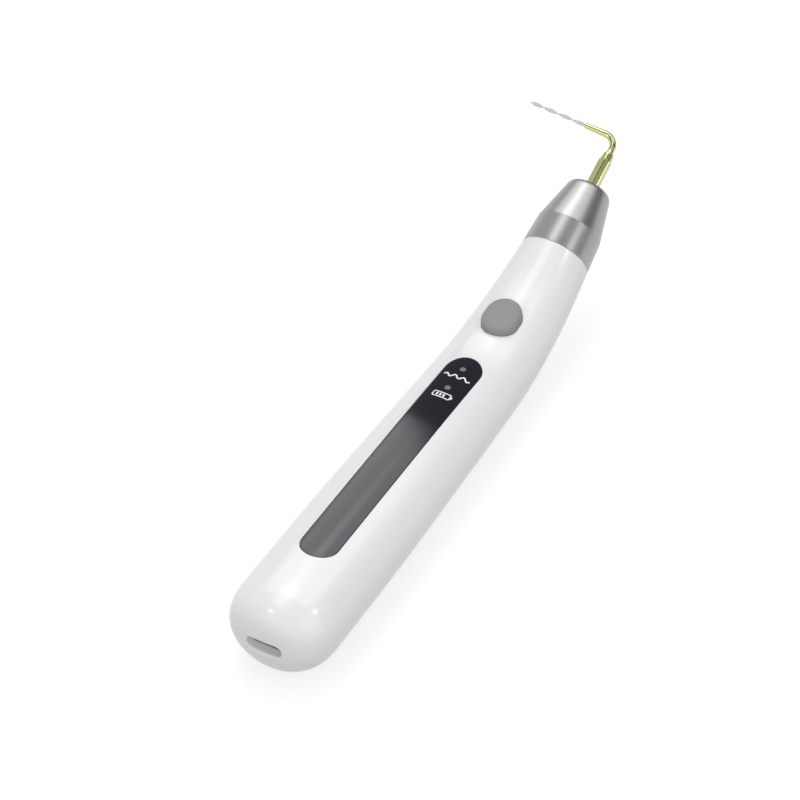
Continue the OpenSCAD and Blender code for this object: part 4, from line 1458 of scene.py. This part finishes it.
class ACTIVATOR_OT_inside(bpy.types.Operator):
    """Gives the pieces inside the casing their finishes"""

    bl_idname = "activator.inside"
    bl_label = "Inside pieces"

    def execute(self, context):
        look = settings(context, "inside")
        board = circuit_board(look.board)
        bright = metal("bright_steel", (0.62, 0.62, 0.64), 0.26)
        dark = metal("dark_steel", (0.2, 0.2, 0.21), 0.35)
        black = plain_plastic("black_moulding", (0.012, 0.012, 0.014), 0.42)
        finishes = {
            board: ("main_board", "charge_board", "switch_board"),
            bright: ("usb_socket", "board_screws", "battery_tabs", "nose_collar", "horn", "back_mass"),
            dark: ("preload_bolt", "drive_transformer"),
            black: ("usb_tongue", "switch_plunger", "board_chips", "panel_adhesive"),
            soft_rubber("dark_rubber", (0.03, 0.03, 0.033), 0.6): (
                "parting_gasket", "button_gasket", "nose_o_ring", "horn_seal", "port_seal", "battery_pad",
                "flange_washers"),
            plain_plastic("grey_switch", (0.09, 0.09, 0.1), 0.4): ("tact_switch",),
            plain_plastic("clear_guide", (0.7, 0.74, 0.78), 0.2): ("light_guides",),
            plain_plastic("light_chip", (0.5, 0.6, 0.4), 0.3): ("status_leds",),
            plain_plastic("cell_sleeve", look.cell, 0.3): ("battery_cell",),
            plain_plastic("amber_film", (0.5, 0.24, 0.04), 0.3): ("switch_ribbon", "transducer_sleeve"),
            copper_winding(look.copper): ("transformer_coil",),
            plain_plastic("ceramic", (0.16, 0.12, 0.09), 0.55): ("piezo_rings",),
            metal("brass_sheet", (0.6, 0.45, 0.18), 0.3): ("electrodes",),
            plain_plastic("red_lead", (0.45, 0.02, 0.015), 0.4): ("battery_leads",),
            plain_plastic("black_lead", (0.014, 0.014, 0.015), 0.4): ("charge_leads",),
            plain_plastic("white_lead", (0.6, 0.6, 0.62), 0.4): ("transducer_leads",),
        }
        for material, names in finishes.items():
            for name in names:
                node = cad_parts[name]
                for slot in node.material_slots:
                    slot.material = material
                if not node.material_slots:
                    raise RuntimeError(f"{name} has no material slot to finish")
        bare = [o.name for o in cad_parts.values() if not o.hide_render
                and any(s.material.name not in {m.name for m in finishes} for s in o.material_slots)]
        if bare:
            raise RuntimeError(f"these pieces have no finish: {bare}")
        return {"FINISHED"}


# ---------------------------------------------------------------- stage

def add_to_scene(name, data):
    thing = bpy.data.objects.new(name, data)
    bpy.context.scene.collection.objects.link(thing)
    return thing


def soft_light(name, power, size, direction, distance, aim):
    """Square light that faces a point from a direction."""
    light = bpy.data.lights.new(name, "AREA")
    light.shape = "RECTANGLE"
    light.size, light.size_y = size, size
    light.energy = power
    lamp = add_to_scene(name, light)
    back = Vector(direction).normalized()
    lamp.location = Vector(aim) + back * distance
    lamp.rotation_euler = back.to_track_quat("Z", "Y").to_euler()


def background_ray(wire):
    """1 on rays that show the background: from the camera, off a glossy surface or through glass."""
    path = wire.add("ShaderNodeLightPath", output="Is Camera Ray")
    outputs = path.socket.node.outputs
    seen = path + Wire(path.tree, outputs["Is Glossy Ray"]) + Wire(path.tree, outputs["Is Transmission Ray"])
    return seen.math("MINIMUM", 1)


def make_floor(colour):
    """Floor that shows white behind the object and keeps its shadow."""
    low_corner, high_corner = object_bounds()
    middle = (low_corner + high_corner) / 2
    material, place = finish("studio_floor")
    seen = background_ray(place)
    grey = seen.blend(rgba((FLOOR_GREY,) * 3), rgba((FLOOR_SEEN_GREY,) * 3))
    matt = place.add("ShaderNodeBsdfDiffuse", {}, {"Color": grey})
    glow = place.add("ShaderNodeEmission", {}, {"Color": rgba(colour), "Strength": seen * FLOOR_GLOW})
    both = place.add("ShaderNodeAddShader", {}, {0: matt, 1: glow})
    place.add("ShaderNodeOutputMaterial", {}, {"Surface": both})
    bm = bmesh.new()
    bmesh.ops.create_circle(bm, cap_ends=True, segments=64, radius=3)
    bmesh.ops.translate(bm, verts=bm.verts[:], vec=(middle.x, middle.y, low_corner.z - FLOOR_GAP))
    mesh = bpy.data.meshes.new("studio_floor")
    bm.to_mesh(mesh)
    bm.free()
    mesh.materials.append(material)
    add_to_scene("studio_floor", mesh)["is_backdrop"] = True


def make_sky(look):
    """Soft lights as zones of the sky, by direction: x ahead, y to the left and z up."""
    world = bpy.data.worlds.new("studio_world")
    bpy.context.scene.world = world
    world.use_nodes = True
    world.node_tree.nodes.clear()
    sky = Wire(world.node_tree)
    x, y, z = sky.add("ShaderNodeTexCoord", output="Generated").axes()

    # Overhead: a wide window with a sharp front edge, and a narrow ridge beside it
    window = x.smooth(0.2, 0.38) * (1 - x.smooth(0.645, 0.66)) * y.band(-0.38, 0.62, 0.15)
    past_end = ((x - 0.2).math("ABSOLUTE") - 0.22).math("MAXIMUM", 0)
    aside = y - 0.22
    ridge = 1 - (past_end * past_end + aside * aside).smooth(0, 0.06)
    overhead = (window * look.window + ridge * look.ridge) * z.smooth(0.25, 0.4)

    # Round the sides and behind
    right = (1 - y.smooth(-0.62, -0.5)) * x.band(-0.5, 0.15, 0.2) * z.band(0.15, 0.72, 0.12)
    left = y.smooth(0.66, 0.8) * x.band(-0.5, 0.62, 0.15) * z.band(0.15, 0.6, 0.12)
    behind = (1 - x.smooth(-0.75, -0.55)) * z.band(0.1, 0.7, 0.1)
    sides = right * look.right + left * look.left + behind * look.behind

    # Near the horizon, what mirrors the background sees it white
    backdrop = (1 - z.smooth(0.05, 0.18)) * background_ray(sky) * (1 - look.ambient)
    strength = backdrop + look.ambient + overhead + sides
    shine = sky.add("ShaderNodeBackground", {}, {"Color": rgba(look.floor), "Strength": strength})
    camera_ray = sky.add("ShaderNodeLightPath", output="Is Camera Ray")
    plain = sky.add("ShaderNodeBackground", {}, {"Color": rgba(look.floor), "Strength": 1.0})
    both = sky.add("ShaderNodeMixShader", {}, {0: camera_ray, 1: shine, 2: plain})
    sky.add("ShaderNodeOutputWorld", {}, {"Surface": both})


def place_camera():
    """Camera behind and to the right of the handle, above it."""
    azimuth, elevation, roll = (math.radians(v) for v in CAMERA_TURNS)
    back = Vector((
        math.sin(azimuth) * math.cos(elevation), -math.cos(azimuth) * math.cos(elevation),
        math.sin(elevation)))
    right = Vector((math.cos(azimuth), math.sin(azimuth), 0))
    up = back.cross(right)
    right, up = (
        right * math.cos(roll) + up * math.sin(roll),
        up * math.cos(roll) - right * math.sin(roll),
    )
    data = bpy.data.cameras.new("studio_camera")
    data.sensor_width = 36
    data.lens = CAMERA_LENS
    data.clip_start, data.clip_end = 0.01, 20
    camera = add_to_scene("studio_camera", data)
    target = Vector((CAMERA_AIM, 0, 0)) - right * CAMERA_LEFT + up * CAMERA_UP
    turned_to = Matrix((right, up, back)).transposed().to_4x4()
    camera.matrix_world = Matrix.Translation(PLACE @ (target + back * CAMERA_DISTANCE)) @ turned_to
    bpy.context.scene.camera = camera


class ACTIVATOR_OT_stage(bpy.types.Operator):
    """Builds the floor, the background, the lights and the camera"""

    bl_idname = "activator.stage"
    bl_label = "Studio"

    def execute(self, context):
        look = settings(context, "stage")
        context.scene.view_settings.view_transform = "Standard"
        make_floor(look.floor)
        make_sky(look)

        # Two small lamps give the rear end its two bright spots
        size = 0.09
        soft_light("right_lamp", look.lamp, size, (0.35, -0.65, 0.68), 0.55, (-0.046, -0.009, 0.02))
        soft_light("left_lamp", look.lamp * 1.3, size, (-0.51, 0.35, 0.79), 0.6, (-0.051, 0, 0.021))
        place_camera()
        return {"FINISHED"}


OPERATORS = (
    ACTIVATOR_OT_casing, ACTIVATOR_OT_panel, ACTIVATOR_OT_button, ACTIVATOR_OT_nose, ACTIVATOR_OT_tip,
    ACTIVATOR_OT_screws, ACTIVATOR_OT_inside, ACTIVATOR_OT_stage,
)


class ACTIVATOR_PT_sidebar(bpy.types.Panel):
    """Lists the activator's pieces and their settings"""

    bl_idname = "ACTIVATOR_PT_sidebar"
    bl_label = "Activator"
    bl_space_type = "VIEW_3D"
    bl_region_type = "UI"
    bl_category = "Activator"

    def draw(self, context):
        for operator in OPERATORS:
            self.layout.operator(operator.bl_idname)
            group = operator.bl_idname.split(".")[1]
            if group in SETTINGS:
                for name in SETTINGS[group].__annotations__:
                    self.layout.prop(settings(context, group), name)


def register():
    for cls in (*SETTINGS.values(), *OPERATORS, ACTIVATOR_PT_sidebar):
        bpy.utils.register_class(cls)
    for group, cls in SETTINGS.items():
        setattr(bpy.types.Scene, "activator_" + group, PointerProperty(type=cls))


def unregister():
    for group in SETTINGS:
        delattr(bpy.types.Scene, "activator_" + group)
    for cls in reversed((*SETTINGS.values(), *OPERATORS, ACTIVATOR_PT_sidebar)):
        bpy.utils.unregister_class(cls)


def main():
    register()
    bpy.ops.activator.casing()
    bpy.ops.activator.panel()
    bpy.ops.activator.button()
    bpy.ops.activator.nose()
    bpy.ops.activator.tip()
    bpy.ops.activator.screws()
    bpy.ops.activator.inside()
    bpy.ops.activator.stage()


if __name__ == "__main__":
    main()
